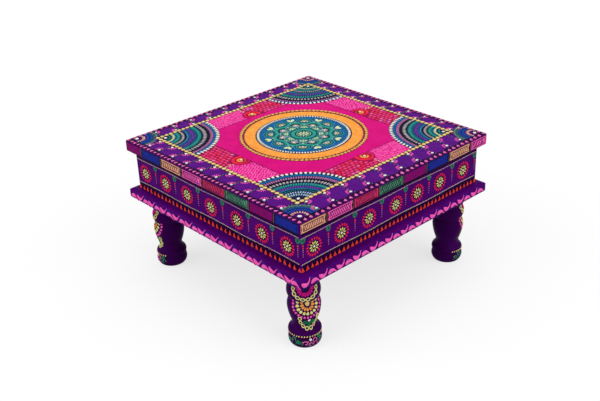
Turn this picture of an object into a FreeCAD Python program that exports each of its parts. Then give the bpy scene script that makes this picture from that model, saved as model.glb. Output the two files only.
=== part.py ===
"""Bajot: a low square table of painted wood, in millimetres, +Z up.

A top board lies on a mitred apron box. The box stands on a mitred base frame with a
rounded nose, and four turned legs are bolted up through the frame into corner blocks.
The origin is on the floor, under the middle of the table. The front is the -Y side.
"""
import FreeCAD, Part
import math
import os

from FreeCAD import Vector

# Top board
top_side = 380.0
top_thickness = 16.0
top_corner_round = 4.0
top_upper_round = 1.5
top_lower_round = 1.5

# Apron box under the top board
apron_inset = 10.0
apron_height = 62.5
apron_thickness = 14.0
apron_corner_round = 1.0

# Base frame, a mitred frame of four rails with a rounded nose
rail_projection = 12.6
rail_width = 62.0
rail_thickness = 16.0
rail_upper_round = 7.0
rail_lower_round = 4.0
rail_corner_round = 4.5

# Turned legs: the outline's points are shares of the widest radius and of the height
leg_height = 113.5
leg_radius = 23.2
leg_axis_inset = 37.0
leg_outline_shares = (
    (0.860, 0.000),
    (1.000, 0.068), (0.900, 0.138),
    (1.000, 0.181), (0.860, 0.230),
    (0.745, 0.286), (0.790, 0.337),
    (0.930, 0.430), (1.000, 0.520),
    (0.975, 0.580), (0.860, 0.637),
    (1.005, 0.720), (0.880, 0.828),
    (1.000, 0.905), (0.950, 1.000),
)

# Corner blocks inside the box
block_side = 44.0
block_height = 36.0
block_chamfer = 5.0

# Cleats that hold the top board, each ending short of the box's inner corners
cleat_side = 18.0
cleat_end_gap = 36.0
cleat_edge_break = 1.5

# Hanger bolts, washers and nuts of the legs
bolt_radius = 4.0
bolt_leg_depth = 40.0
bolt_tip = 5.0
bolt_stand_out = 2.5
washer_radius = 11.0
washer_thickness = 1.6
nut_across_flats = 13.0
nut_height = 6.5
nut_sides = 6
nut_edge_break = 1.0

# Countersunk wood screws
screw_radius = 2.0
screw_head_radius = 4.0
screw_tip = 4.0
screw_sink = 0.3
slot_width = 1.0
slot_depth = 1.1
top_screw_bite = 9.0
cleat_screw_bite = 9.0
block_screw_bite = 9.0
rail_screw_bite = 22.0

# Places of the screws, from the cleat's end, the leg's axis and the block's foot
top_screw_end_gap = 30.0
cleat_screw_end_gap = 80.0
rail_screw_leg_gap = 48.0
block_screw_inset = 31.0
block_screw_lowest = 6.0
block_screw_step = 8.0
block_screw_count = 4

# Clearance of a shank, bolt or head in its hole, and the overrun of cutting shapes
hole_clearance = 0.1
cut_overrun = 1.0

# Levels and half widths that follow from the sizes above
rail_bottom = leg_height
rail_top = rail_bottom + rail_thickness
apron_top = rail_top + apron_height
table_height = apron_top + top_thickness
top_half = top_side / 2
apron_half = top_half - apron_inset
apron_inner_half = apron_half - apron_thickness
rail_half = apron_half + rail_projection
rail_inner_half = rail_half - rail_width
leg_axis = top_half - leg_axis_inset
cleat_half = apron_inner_half - cleat_end_gap
block_top = rail_top + block_height
washer_top = block_top + washer_thickness
nut_top = washer_top + nut_height

ORIGIN = Vector(0, 0, 0)
UP = Vector(0, 0, 1)
SIDE_NAMES = ("front", "right", "back", "left")
CORNER_NAMES = ("front_right", "back_right", "back_left", "front_left")
FULL_TURN = 360
QUARTER_TURN = FULL_TURN / len(SIDE_NAMES)


def turned(shape, turns):
    """The shape turned about the table's upright middle axis by quarter turns."""
    copy = shape.copy()
    copy.rotate(ORIGIN, UP, QUARTER_TURN * turns)
    return copy


def rounded_prism(half, bottom, height, corner_round):
    """A square upright block about the middle axis, with its upright edges rounded."""
    block = Part.makeBox(2 * half, 2 * half, height, Vector(-half, -half, bottom))
    upright = [edge for edge in block.Edges if edge.BoundBox.ZLength > height / 2]
    return block.makeFillet(corner_round, upright)


def front_wedge(half, bottom, height):
    """The quarter of a square block that lies to the front, cut off by the mitre planes."""
    corners = [ORIGIN, Vector(-half, -half, 0), Vector(half, -half, 0), ORIGIN]
    face = Part.Face(Part.makePolygon(corners))
    face.translate(Vector(0, 0, bottom))
    return face.extrude(Vector(0, 0, height))


def revolved(edges):
    """A solid of revolution about the upright axis from edges drawn in the XZ plane."""
    return Part.Face(Part.Wire(edges)).revolve(ORIGIN, UP, FULL_TURN)


def outline_edges(points):
    """Straight edges that join the points and close back to the first."""
    return Part.makePolygon(points + points[:1]).Edges


def countersunk_screw(length, clearance):
    """A screw with its head face at the origin and its point along +Z, grown by a clearance."""
    head = screw_head_radius + clearance
    shank = screw_radius + clearance
    points = [
        Vector(0, 0, 0),
        Vector(head, 0, 0),
        Vector(shank, 0, head - shank),
        Vector(shank, 0, length - screw_tip + clearance),
        Vector(0, 0, length + clearance),
    ]
    return revolved(outline_edges(points))


def slotted_screw(length):
    """A screw with a driver slot across its head."""
    slot = Part.makeBox(2 * screw_head_radius, slot_width, slot_depth,
                        Vector(-screw_head_radius, -slot_width / 2, 0))
    return countersunk_screw(length, 0).cut(slot)


def screw_hole(length):
    """The hole that a screw of this length sits in, open above its sunk head."""
    mouth = Part.makeCylinder(screw_head_radius + hole_clearance, screw_sink + cut_overrun,
                              Vector(0, 0, -screw_sink - cut_overrun))
    return countersunk_screw(length, hole_clearance).fuse(mouth).removeSplitter()


def aimed(shape, place, direction):
    """The shape moved from the origin to a place, with its +Z turned to a direction."""
    copy = shape.copy()
    copy.Placement = FreeCAD.Placement(place, FreeCAD.Rotation(UP, direction))
    return copy


def top_screw_places():
    """Front places of the screws that go up through the cleat into the top board."""
    middle = apron_inner_half - cleat_side / 2
    level = apron_top - cleat_side + screw_sink
    beside = cleat_half - top_screw_end_gap
    return [(Vector(step * beside, -middle, level), UP) for step in (-1, 0, 1)]


def cleat_screw_places():
    """Front places of the screws that go out through the cleat into the apron."""
    inner_face = apron_inner_half - cleat_side + screw_sink
    level = apron_top - cleat_side / 2
    beside = cleat_half - cleat_screw_end_gap
    return [(Vector(side * beside, -inner_face, level), Vector(0, -1, 0)) for side in (-1, 1)]


def rail_screw_places():
    """Front places of the screws that go up through the rail into the apron's lower edge."""
    middle = apron_half - apron_thickness / 2
    level = rail_bottom + screw_sink
    beside = leg_axis - rail_screw_leg_gap
    return [(Vector(step * beside, -middle, level), UP) for step in (-1, 0, 1)]


def block_screw_places():
    """Places of the screws of the front right corner block, staggered in height."""
    inner_face = apron_inner_half - block_side + screw_sink
    beside = apron_inner_half - block_screw_inset
    places = []
    for step in range(block_screw_count):
        level = rail_top + block_screw_lowest + step * block_screw_step
        if step % 2 == 0:
            places.append((Vector(inner_face, -beside, level), Vector(1, 0, 0)))
        else:
            places.append((Vector(beside, -inner_face, level), Vector(0, -1, 0)))
    return places


def all_round(shapes):
    """The shapes of one side or corner, repeated for all four."""
    return [turned(shape, turns) for turns in range(len(SIDE_NAMES)) for shape in shapes]


def placed(shape, places):
    """One copy of the shape at each place."""
    return [aimed(shape, place, direction) for place, direction in places]


def screw_sets():
    """Each screw node's name, its screw length and the places on one side or corner."""
    return {
        "top_screws": (cleat_side - screw_sink + top_screw_bite, top_screw_places()),
        "cleat_screws": (cleat_side - screw_sink + cleat_screw_bite, cleat_screw_places()),
        "rail_screws": (rail_thickness - screw_sink + rail_screw_bite, rail_screw_places()),
        "block_screws": (block_side - screw_sink + block_screw_bite, block_screw_places()),
    }


def bolt_holes():
    """Holes of the four hanger bolts, through block and rail into the leg."""
    depth = bolt_leg_depth + rail_thickness + block_height + hole_clearance
    start = Vector(leg_axis, -leg_axis, rail_bottom - bolt_leg_depth - hole_clearance)
    return all_round([Part.makeCylinder(bolt_radius + hole_clearance, depth, start)])


def drilled(piece, holes):
    """The piece with every hole cut that reaches it."""
    reached = [hole for hole in holes if hole.BoundBox.intersect(piece.BoundBox)]
    return piece.cut(reached) if reached else piece


def make_top_board():
    """The square top board with its edges eased."""
    board = rounded_prism(top_half, apron_top, top_thickness, top_corner_round)
    upper = [edge for edge in board.Edges if edge.BoundBox.ZMin > apron_top + top_thickness / 2]
    board = board.makeFillet(top_upper_round, upper)
    lower = [edge for edge in board.Edges if edge.BoundBox.ZMax < apron_top + top_thickness / 2]
    return board.makeFillet(top_lower_round, lower)


def make_apron_front():
    """The front board of the apron box, mitred at both ends."""
    box = rounded_prism(apron_half, rail_top, apron_height, apron_corner_round)
    room = Part.makeBox(2 * apron_inner_half, 2 * apron_inner_half, apron_height,
                        Vector(-apron_inner_half, -apron_inner_half, rail_top))
    return box.cut(room).common(front_wedge(top_half, rail_top, apron_height))


def rail_section():
    """Section of a rail in the YZ plane at the front: a flat strip with a rounded nose."""
    nose = -rail_half
    upper_middle = Vector(0, nose + rail_upper_round, rail_top - rail_upper_round)
    lower_middle = Vector(0, nose + rail_lower_round, rail_bottom + rail_lower_round)
    diagonal = math.cos(math.pi / 4)
    upper_arc = Part.Arc(
        upper_middle + Vector(0, 0, rail_upper_round),
        upper_middle + Vector(0, -diagonal * rail_upper_round, diagonal * rail_upper_round),
        upper_middle - Vector(0, rail_upper_round, 0)).toShape()
    lower_arc = Part.Arc(
        lower_middle - Vector(0, rail_lower_round, 0),
        lower_middle - Vector(0, diagonal * rail_lower_round, diagonal * rail_lower_round),
        lower_middle - Vector(0, 0, rail_lower_round)).toShape()
    inner_top = Vector(0, -rail_inner_half, rail_top)
    inner_bottom = Vector(0, -rail_inner_half, rail_bottom)
    edges = [
        Part.makeLine(inner_top, upper_middle + Vector(0, 0, rail_upper_round)),
        upper_arc,
        Part.makeLine(upper_middle - Vector(0, rail_upper_round, 0),
                      lower_middle - Vector(0, rail_lower_round, 0)),
        lower_arc,
        Part.makeLine(lower_middle - Vector(0, 0, rail_lower_round), inner_bottom),
        Part.makeLine(inner_bottom, inner_top),
    ]
    return Part.Face(Part.Wire(edges))


def make_rail_front():
    """The front rail of the base frame, mitred at both ends."""
    section = rail_section()
    section.translate(Vector(-rail_half, 0, 0))
    strip = section.extrude(Vector(2 * rail_half, 0, 0))
    wedge = front_wedge(rail_half + cut_overrun, rail_bottom, rail_thickness)
    plan = rounded_prism(rail_half, rail_bottom, rail_thickness, rail_corner_round)
    return strip.common(wedge).common(plan)


def make_leg():
    """The front right leg, turned, with its outline as arcs through the named shares."""
    points = [Vector(leg_radius * radius_share, 0, leg_height * height_share)
              for radius_share, height_share in leg_outline_shares]
    edges = [Part.makeLine(ORIGIN, points[0])]
    for start, middle, end in zip(points[0::2], points[1::2], points[2::2]):
        edges.append(Part.Arc(start, middle, end).toShape())
    top_middle = Vector(0, 0, leg_height)
    edges.append(Part.makeLine(points[-1], top_middle))
    edges.append(Part.makeLine(top_middle, ORIGIN))
    leg = revolved(edges)
    leg.translate(Vector(leg_axis, -leg_axis, 0))
    return leg


def make_corner_block():
    """The front right corner block, with its free upright edge chamfered."""
    inner = apron_inner_half - block_side
    block = Part.makeBox(block_side, block_side, block_height,
                         Vector(inner, -apron_inner_half, rail_top))
    free = [edge for edge in block.Edges
            if edge.BoundBox.XMax < inner + block_side / 2
            and edge.BoundBox.YMin > -apron_inner_half + block_side / 2]
    return block.makeChamfer(block_chamfer, free)


def make_cleat_front():
    """The front cleat in the angle between apron and top board."""
    cleat = Part.makeBox(2 * cleat_half, cleat_side, cleat_side,
                         Vector(-cleat_half, -apron_inner_half, apron_top - cleat_side))
    free = [edge for edge in cleat.Edges
            if edge.BoundBox.YMin > -apron_inner_half + cleat_side / 2
            and edge.BoundBox.ZMax < apron_top - cleat_side / 2]
    return cleat.makeChamfer(cleat_edge_break, free)


def make_hanger_bolt():
    """A hanger bolt: a pointed wood end in the leg and a straight end for the nut."""
    bottom = rail_bottom - bolt_leg_depth
    top = nut_top + bolt_stand_out
    points = [
        Vector(0, 0, bottom),
        Vector(bolt_radius, 0, bottom + bolt_tip),
        Vector(bolt_radius, 0, top),
        Vector(0, 0, top),
    ]
    bolt = revolved(outline_edges(points))
    bolt.translate(Vector(leg_axis, -leg_axis, 0))
    return bolt


def make_washer():
    """The flat washer on the front right corner block."""
    place = Vector(leg_axis, -leg_axis, block_top)
    disc = Part.makeCylinder(washer_radius, washer_thickness, place)
    return disc.cut(Part.makeCylinder(bolt_radius + hole_clearance, washer_thickness, place))


def make_nut():
    """The hexagon nut on the washer, with its upper corners turned off."""
    corner_radius = nut_across_flats / 2 / math.cos(math.pi / nut_sides)
    corners = [Vector(corner_radius * math.cos(2 * math.pi * turn / nut_sides),
                      corner_radius * math.sin(2 * math.pi * turn / nut_sides), 0)
               for turn in range(nut_sides)]
    nut = Part.Face(Part.makePolygon(corners + corners[:1])).extrude(Vector(0, 0, nut_height))
    turned_cone = Part.makeCone(corner_radius + nut_height - nut_edge_break / 2,
                                corner_radius - nut_edge_break / 2, nut_height)
    nut = nut.common(turned_cone)
    nut = nut.cut(Part.makeCylinder(bolt_radius + hole_clearance, nut_height))
    nut.translate(Vector(leg_axis, -leg_axis, washer_top))
    return nut


def build_nodes():
    """Every node's name with its shape."""
    holes = bolt_holes()
    nodes = {}
    for name, (length, places) in screw_sets().items():
        nodes[name] = Part.makeCompound(all_round(placed(slotted_screw(length), places)))
        holes += all_round(placed(screw_hole(length), places))
    nodes["top_board"] = drilled(make_top_board(), holes)
    for turns, side in enumerate(SIDE_NAMES):
        nodes["apron_" + side] = drilled(turned(make_apron_front(), turns), holes)
        nodes["base_rail_" + side] = drilled(turned(make_rail_front(), turns), holes)
        nodes["top_cleat_" + side] = drilled(turned(make_cleat_front(), turns), holes)
    for turns, corner in enumerate(CORNER_NAMES):
        nodes["leg_" + corner] = drilled(turned(make_leg(), turns), holes)
        nodes["corner_block_" + corner] = drilled(turned(make_corner_block(), turns), holes)
    nodes["hanger_bolts"] = Part.makeCompound(all_round([make_hanger_bolt()]))
    nodes["leg_washers"] = Part.makeCompound(all_round([make_washer()]))
    nodes["leg_nuts"] = Part.makeCompound(all_round([make_nut()]))
    return nodes


def main():
    """Builds the table and writes one file per node."""
    os.makedirs("parts", exist_ok=True)
    for name, shape in build_nodes().items():
        shape.exportStep(os.path.join("parts", name + ".step"))
        print(name, "solids", len(shape.Solids), "valid", shape.isValid(),
              "volume", round(shape.Volume))


main()
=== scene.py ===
"""Bajot: a low square table of wood, painted purple and covered in relief ornament.

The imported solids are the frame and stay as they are. Timber dresses them in brushed
paint, bare wood and zinc. A Painter lays thick paint over them in small closed forms, as
the real one does with a brush and a cone of paste, and each kind of Ornament tells it
where. Studio adds the floor, the lights and the camera. Sizes are in millimetres unless a
name ends in _m, and meshes are built in metres. The front is the -Y side, and sides are
counted from it counterclockwise: front, right, back, left. On each face u runs to the
right, v runs up and h stands out from it.
"""
import logging
import math
from dataclasses import dataclass
from enum import Enum
from typing import Optional, Sequence, Union

import bpy
import numpy as np
from mathutils import Matrix, Vector


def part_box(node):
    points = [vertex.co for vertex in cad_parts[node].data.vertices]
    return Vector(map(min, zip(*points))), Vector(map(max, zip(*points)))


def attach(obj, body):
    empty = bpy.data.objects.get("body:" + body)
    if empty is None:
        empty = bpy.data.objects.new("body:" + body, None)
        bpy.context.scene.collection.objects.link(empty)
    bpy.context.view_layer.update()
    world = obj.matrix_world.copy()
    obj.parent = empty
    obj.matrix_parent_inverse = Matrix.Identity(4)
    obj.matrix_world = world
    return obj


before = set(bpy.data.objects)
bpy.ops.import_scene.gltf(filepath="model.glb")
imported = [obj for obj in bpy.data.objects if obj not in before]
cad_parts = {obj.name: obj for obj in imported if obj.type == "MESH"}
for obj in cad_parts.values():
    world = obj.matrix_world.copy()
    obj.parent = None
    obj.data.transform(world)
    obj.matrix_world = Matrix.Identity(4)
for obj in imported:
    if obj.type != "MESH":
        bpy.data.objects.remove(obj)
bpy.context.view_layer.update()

log = logging.getLogger("bajot")
Array = np.ndarray
Number = Union[float, Array]
MM = 0.001
SIDES = ("front", "right", "back", "left")
CORNERS = ("front_right", "back_right", "back_left", "front_left")
QUARTER = math.pi / 2
INWARDS = math.radians(135)
DOWN = -QUARTER
SEED = 15
# Colours of the solids' finishes, light and dark, as a screen shows them.
# The legs' purple is the boards' purple made darker: painted shade for the dim light under the table.
SHADED_LEG_PURPLE = ((60, 3, 82), (50, 2, 70))
BOARD_PURPLE = ((80, 3, 110), (70, 2, 97))
RUBBED_PURPLE = (114, 44, 140)
INNER_WOOD = ((196, 158, 112), (150, 108, 68))
BARE_WOOD = ((206, 168, 120), (164, 120, 76))
ZINC = ((214, 214, 206), (168, 170, 168))


@dataclass(frozen=True)
class Tone:
    """One thick paint: the record's slot, its colour and a second shade in it, as a screen shows them."""

    slot: str
    colour: tuple[float, float, float]
    shade: tuple[float, float, float]
    mottle_per_m: float = 260.0
    bump: float = 0.25


class Paint(Enum):
    """The painter's pots."""

    MAGENTA = Tone("magenta_paint", (219, 9, 126), (205, 8, 117), 60.0)
    PLUM = Tone("magenta_paint", (146, 8, 116), (126, 6, 102))
    PINK = Tone("pink_paint", (255, 106, 192), (242, 82, 174))
    PETAL_PINK = Tone("pink_paint", (242, 122, 188), (214, 84, 158))
    ROSE = Tone("pink_paint", (212, 22, 130), (222, 40, 142))
    PALE_PINK = Tone("pink_paint", (255, 114, 186), (246, 84, 170))
    MAUVE = Tone("pink_paint", (204, 128, 176), (170, 98, 158))
    RED = Tone("red_paint", (244, 44, 68), (222, 30, 62))
    BRICK = Tone("red_paint", (228, 44, 112), (236, 74, 124))
    CRIMSON = Tone("red_paint", (160, 12, 76), (138, 10, 66))
    BRICK_RED = Tone("red_paint", (222, 58, 104), (192, 40, 88))
    CORAL = Tone("coral_paint", (255, 80, 50), (240, 58, 46))
    ORANGE = Tone("orange_paint", (251, 174, 78), (240, 142, 56), 150.0, 0.5)
    YELLOW = Tone("yellow_paint", (240, 216, 142), (220, 186, 108))
    HONEY = Tone("yellow_paint", (234, 188, 104), (208, 148, 72))
    BRONZE = Tone("yellow_paint", (150, 120, 98), (110, 84, 82))
    GOLD = Tone("yellow_paint", (226, 204, 186), (178, 150, 150))
    CREAM = Tone("cream_paint", (244, 243, 234), (226, 220, 206))
    SILVER = Tone("cream_paint", (192, 210, 222), (150, 180, 206))
    LIME = Tone("lime_paint", (244, 238, 156), (222, 214, 118))
    PALE_LIME = Tone("lime_paint", (222, 234, 176), (196, 218, 146))
    GREEN = Tone("green_paint", (20, 132, 76), (12, 100, 66))
    JADE = Tone("green_paint", (58, 134, 98), (36, 100, 80))
    SAGE = Tone("green_paint", (92, 152, 126), (58, 120, 100))
    TEAL = Tone("teal_paint", (50, 168, 142), (36, 138, 130))
    DEEP_TEAL = Tone("teal_paint", (22, 126, 124), (14, 102, 114))
    BLUE = Tone("blue_paint", (14, 102, 158), (10, 84, 142))
    SKY = Tone("blue_paint", (76, 158, 196), (48, 124, 178))
    ROYAL_BLUE = Tone("blue_paint", (32, 44, 148), (24, 34, 126))
    NAVY = Tone("navy_paint", (10, 38, 80), (8, 22, 56))
    VIOLET = Tone("violet_paint", (91, 13, 131), (80, 11, 117), 90.0)
    ORCHID = Tone("violet_paint", (126, 66, 168), (102, 48, 152))
    TAN = Tone("tan_paint", (240, 180, 136), (216, 152, 116))
    BEIGE = Tone("tan_paint", (196, 182, 170), (160, 150, 154))
    PEACH = Tone("tan_paint", (232, 194, 164), (206, 164, 138))
    BROWN = Tone("black_paint", (86, 36, 34), (60, 22, 30))
    MULBERRY = Tone("black_paint", (88, 20, 74), (62, 12, 56))
    BLACK = Tone("black_paint", (26, 8, 34), (16, 4, 24))
    DARK_PURPLE = Tone("black_paint", (42, 3, 60), (28, 2, 42))


class Grain(Enum):
    """How brush marks and wood grain run on a piece: their counts per metre on X, Y and Z."""

    ALONG_X = (14.0, 420.0, 420.0)
    ALONG_Y = (420.0, 14.0, 420.0)
    UPRIGHT = (420.0, 420.0, 14.0)
    TURNED = (16.0, 16.0, 520.0)


def linear(*channels: float) -> tuple[float, ...]:
    """The shader's colour for red, green and blue from 0 to 255 on a screen."""
    shares = [channel / 255 for channel in channels]
    straight = [share / 12.92 if share <= 0.04045 else ((share + 0.055) / 1.055) ** 2.4 for share in shares]
    return (*straight, 1.0)


class Wiring:
    """Adds nodes to a node tree and joins them."""

    def __init__(self, tree: bpy.types.NodeTree) -> None:
        """Takes the tree to work on."""
        self.tree = tree

    def add(self, kind: str, settings: Optional[dict] = None,
            inputs: Optional[dict] = None) -> bpy.types.Node:
        """Adds one node.

        Args:
            kind: The node's type in Blender.
            settings: Properties of the node by name.
            inputs: Sockets by name or number, each with a value or with the socket that feeds it.

        Returns:
            The new node.
        """
        node = self.tree.nodes.new(kind)
        for name, value in (settings or {}).items():
            setattr(node, name, value)
        for name, value in (inputs or {}).items():
            if isinstance(value, bpy.types.NodeSocket):
                self.tree.links.new(value, node.inputs[name])
            else:
                node.inputs[name].default_value = value
        return node

    def math(self, operation: str, *values: object) -> bpy.types.NodeSocket:
        """One step of arithmetic on numbers or sockets."""
        return self.add("ShaderNodeMath", {"operation": operation}, dict(enumerate(values))).outputs[0]

    def weigh(self, first: object, share: float, second: object) -> bpy.types.NodeSocket:
        """Two numbers added up: a share of the first and the rest of the second."""
        rest = self.math("MULTIPLY", second, 1 - share)
        return self.math("ADD", self.math("MULTIPLY", first, share), rest)

    def vector(self, operation: str, *values: object) -> bpy.types.Node:
        """One step of vector arithmetic, as its node."""
        return self.add("ShaderNodeVectorMath", {"operation": operation}, dict(enumerate(values)))

    def blend(self, share: object, first: object, second: object) -> bpy.types.NodeSocket:
        """The first colour mixed with a share of the second."""
        node = self.add("ShaderNodeMix", {"data_type": "RGBA"}, {0: share, 6: first, 7: second})
        return node.outputs[2]

    def noise(self, vector: object, scale: object, detail: float = 3.0) -> bpy.types.NodeSocket:
        """Cloudy noise with so many clouds to a unit of the coordinates."""
        inputs = {"Vector": vector, "Scale": scale, "Detail": detail}
        return self.add("ShaderNodeTexNoise", None, inputs).outputs[0]

    def range(self, value: object, low: object, high: object, start: float = 0.0,
              end: float = 1.0) -> bpy.types.NodeSocket:
        """A value moved from one range to another and clamped there."""
        inputs = {"Value": value, 1: low, 2: high, 3: start, 4: end}
        return self.add("ShaderNodeMapRange", None, inputs).outputs[0]


class EffectGroup:
    """A node group that more than one material uses, built once."""

    name = "effect"
    inputs: tuple[tuple[str, str], ...] = ()
    outputs: tuple[tuple[str, str], ...] = ()

    def __init__(self) -> None:
        """Makes the group with its named sockets and wires it."""
        self.tree = bpy.data.node_groups.new(self.name, "ShaderNodeTree")
        for in_out, sockets in (("INPUT", self.inputs), ("OUTPUT", self.outputs)):
            for label, kind in sockets:
                self.tree.interface.new_socket(label, in_out=in_out, socket_type="NodeSocket" + kind)
        wiring = Wiring(self.tree)
        entry = wiring.add("NodeGroupInput")
        wiring.add("NodeGroupOutput", None, self.wire(wiring, entry.outputs))

    def wire(self, wiring: Wiring, given: object) -> dict:
        """Wires the effect from its inputs and returns each output's feeding socket by name."""
        raise NotImplementedError

    def place(self, wiring: Wiring, **values: object) -> object:
        """Places the group in a material and returns its outputs by name."""
        return wiring.add("ShaderNodeGroup", {"node_tree": self.tree}, values).outputs


class PaintFilm(EffectGroup):
    """Brushed paint: two shades in clouds and streaks, with the streaks in slight relief."""

    name = "paint_film"
    inputs = (("Vector", "Vector"), ("Streaks", "Vector"), ("Colour", "Color"), ("Shade", "Color"),
              ("Mottle", "Float"), ("Sheen", "Float"))
    outputs = (("Colour", "Color"), ("Roughness", "Float"), ("Height", "Float"))

    def wire(self, wiring: Wiring, given: object) -> dict:
        """Clouds choose the shade, and streaks shift it, the sheen and the height."""
        clouds = wiring.noise(given["Vector"], given["Mottle"])
        streaks = wiring.noise(given["Streaks"], 1.0, 4.0)
        mixed = wiring.weigh(clouds, 0.6, streaks)
        colour = wiring.blend(wiring.range(mixed, 0.36, 0.66), given["Colour"], given["Shade"])
        roughness = wiring.math("ADD", given["Sheen"], wiring.range(mixed, 0.3, 0.7, -0.07, 0.1))
        height = wiring.weigh(streaks, 0.7, clouds)
        return {"Colour": colour, "Roughness": roughness, "Height": height}


class WoodGrain(EffectGroup):
    """Planed wood: long fibres over wider growth bands."""

    name = "wood_grain"
    inputs = (("Streaks", "Vector"), ("Light", "Color"), ("Dark", "Color"))
    outputs = (("Colour", "Color"), ("Roughness", "Float"), ("Height", "Float"))

    def wire(self, wiring: Wiring, given: object) -> dict:
        """Fine fibres over slow bands choose between the light and the dark wood."""
        bands = wiring.noise(given["Streaks"], 0.18, 2.0)
        fibres = wiring.noise(given["Streaks"], 1.6, 5.0)
        mixed = wiring.weigh(bands, 0.65, fibres)
        colour = wiring.blend(wiring.range(mixed, 0.34, 0.66), given["Light"], given["Dark"])
        return {"Colour": colour, "Roughness": wiring.range(fibres, 0.3, 0.7, 0.62, 0.8), "Height": fibres}


class HiddenInside(EffectGroup):
    """A mask of the faces inside the box, which the painter's brush didn't reach."""

    name = "hidden_inside"
    inputs = (("Vector", "Vector"), ("Half", "Float"), ("Low", "Float"), ("High", "Float"),
              ("Ragged", "Float"))
    outputs = (("Mask", "Float"),)

    def wire(self, wiring: Wiring, given: object) -> dict:
        """Tests the place against the box, with a ragged edge of paint at its foot."""
        axes = wiring.add("ShaderNodeSeparateXYZ", None, {0: given["Vector"]}).outputs
        across = wiring.math("MAXIMUM", wiring.math("ABSOLUTE", axes[0]), wiring.math("ABSOLUTE", axes[1]))
        rough = wiring.math("MULTIPLY", wiring.noise(given["Vector"], 90.0, 4.0), given["Ragged"])
        inside = wiring.math("LESS_THAN", across, given["Half"])
        raised = wiring.math("GREATER_THAN", axes[2], wiring.math("ADD", given["Low"], rough))
        under = wiring.math("LESS_THAN", axes[2], given["High"])
        return {"Mask": wiring.math("MULTIPLY", inside, wiring.math("MULTIPLY", raised, under))}


class EdgeWear(EffectGroup):
    """A mask of handled edges, broken up by noise."""

    name = "edge_wear"
    inputs = (("Vector", "Vector"), ("Radius", "Float"))
    outputs = (("Mask", "Float"),)

    def wire(self, wiring: Wiring, given: object) -> dict:
        """Where the bevelled normal turns from the true one, an edge is near."""
        bevel = wiring.add("ShaderNodeBevel", {"samples": 4}, {"Radius": given["Radius"]})
        true = wiring.add("ShaderNodeNewGeometry").outputs["Normal"]
        turned = wiring.vector("DOT_PRODUCT", bevel.outputs[0], true).outputs["Value"]
        spots = wiring.range(wiring.noise(given["Vector"], 160.0, 4.0), 0.42, 0.62)
        return {"Mask": wiring.math("MULTIPLY", wiring.range(turned, 0.985, 0.86), spots)}


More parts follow.
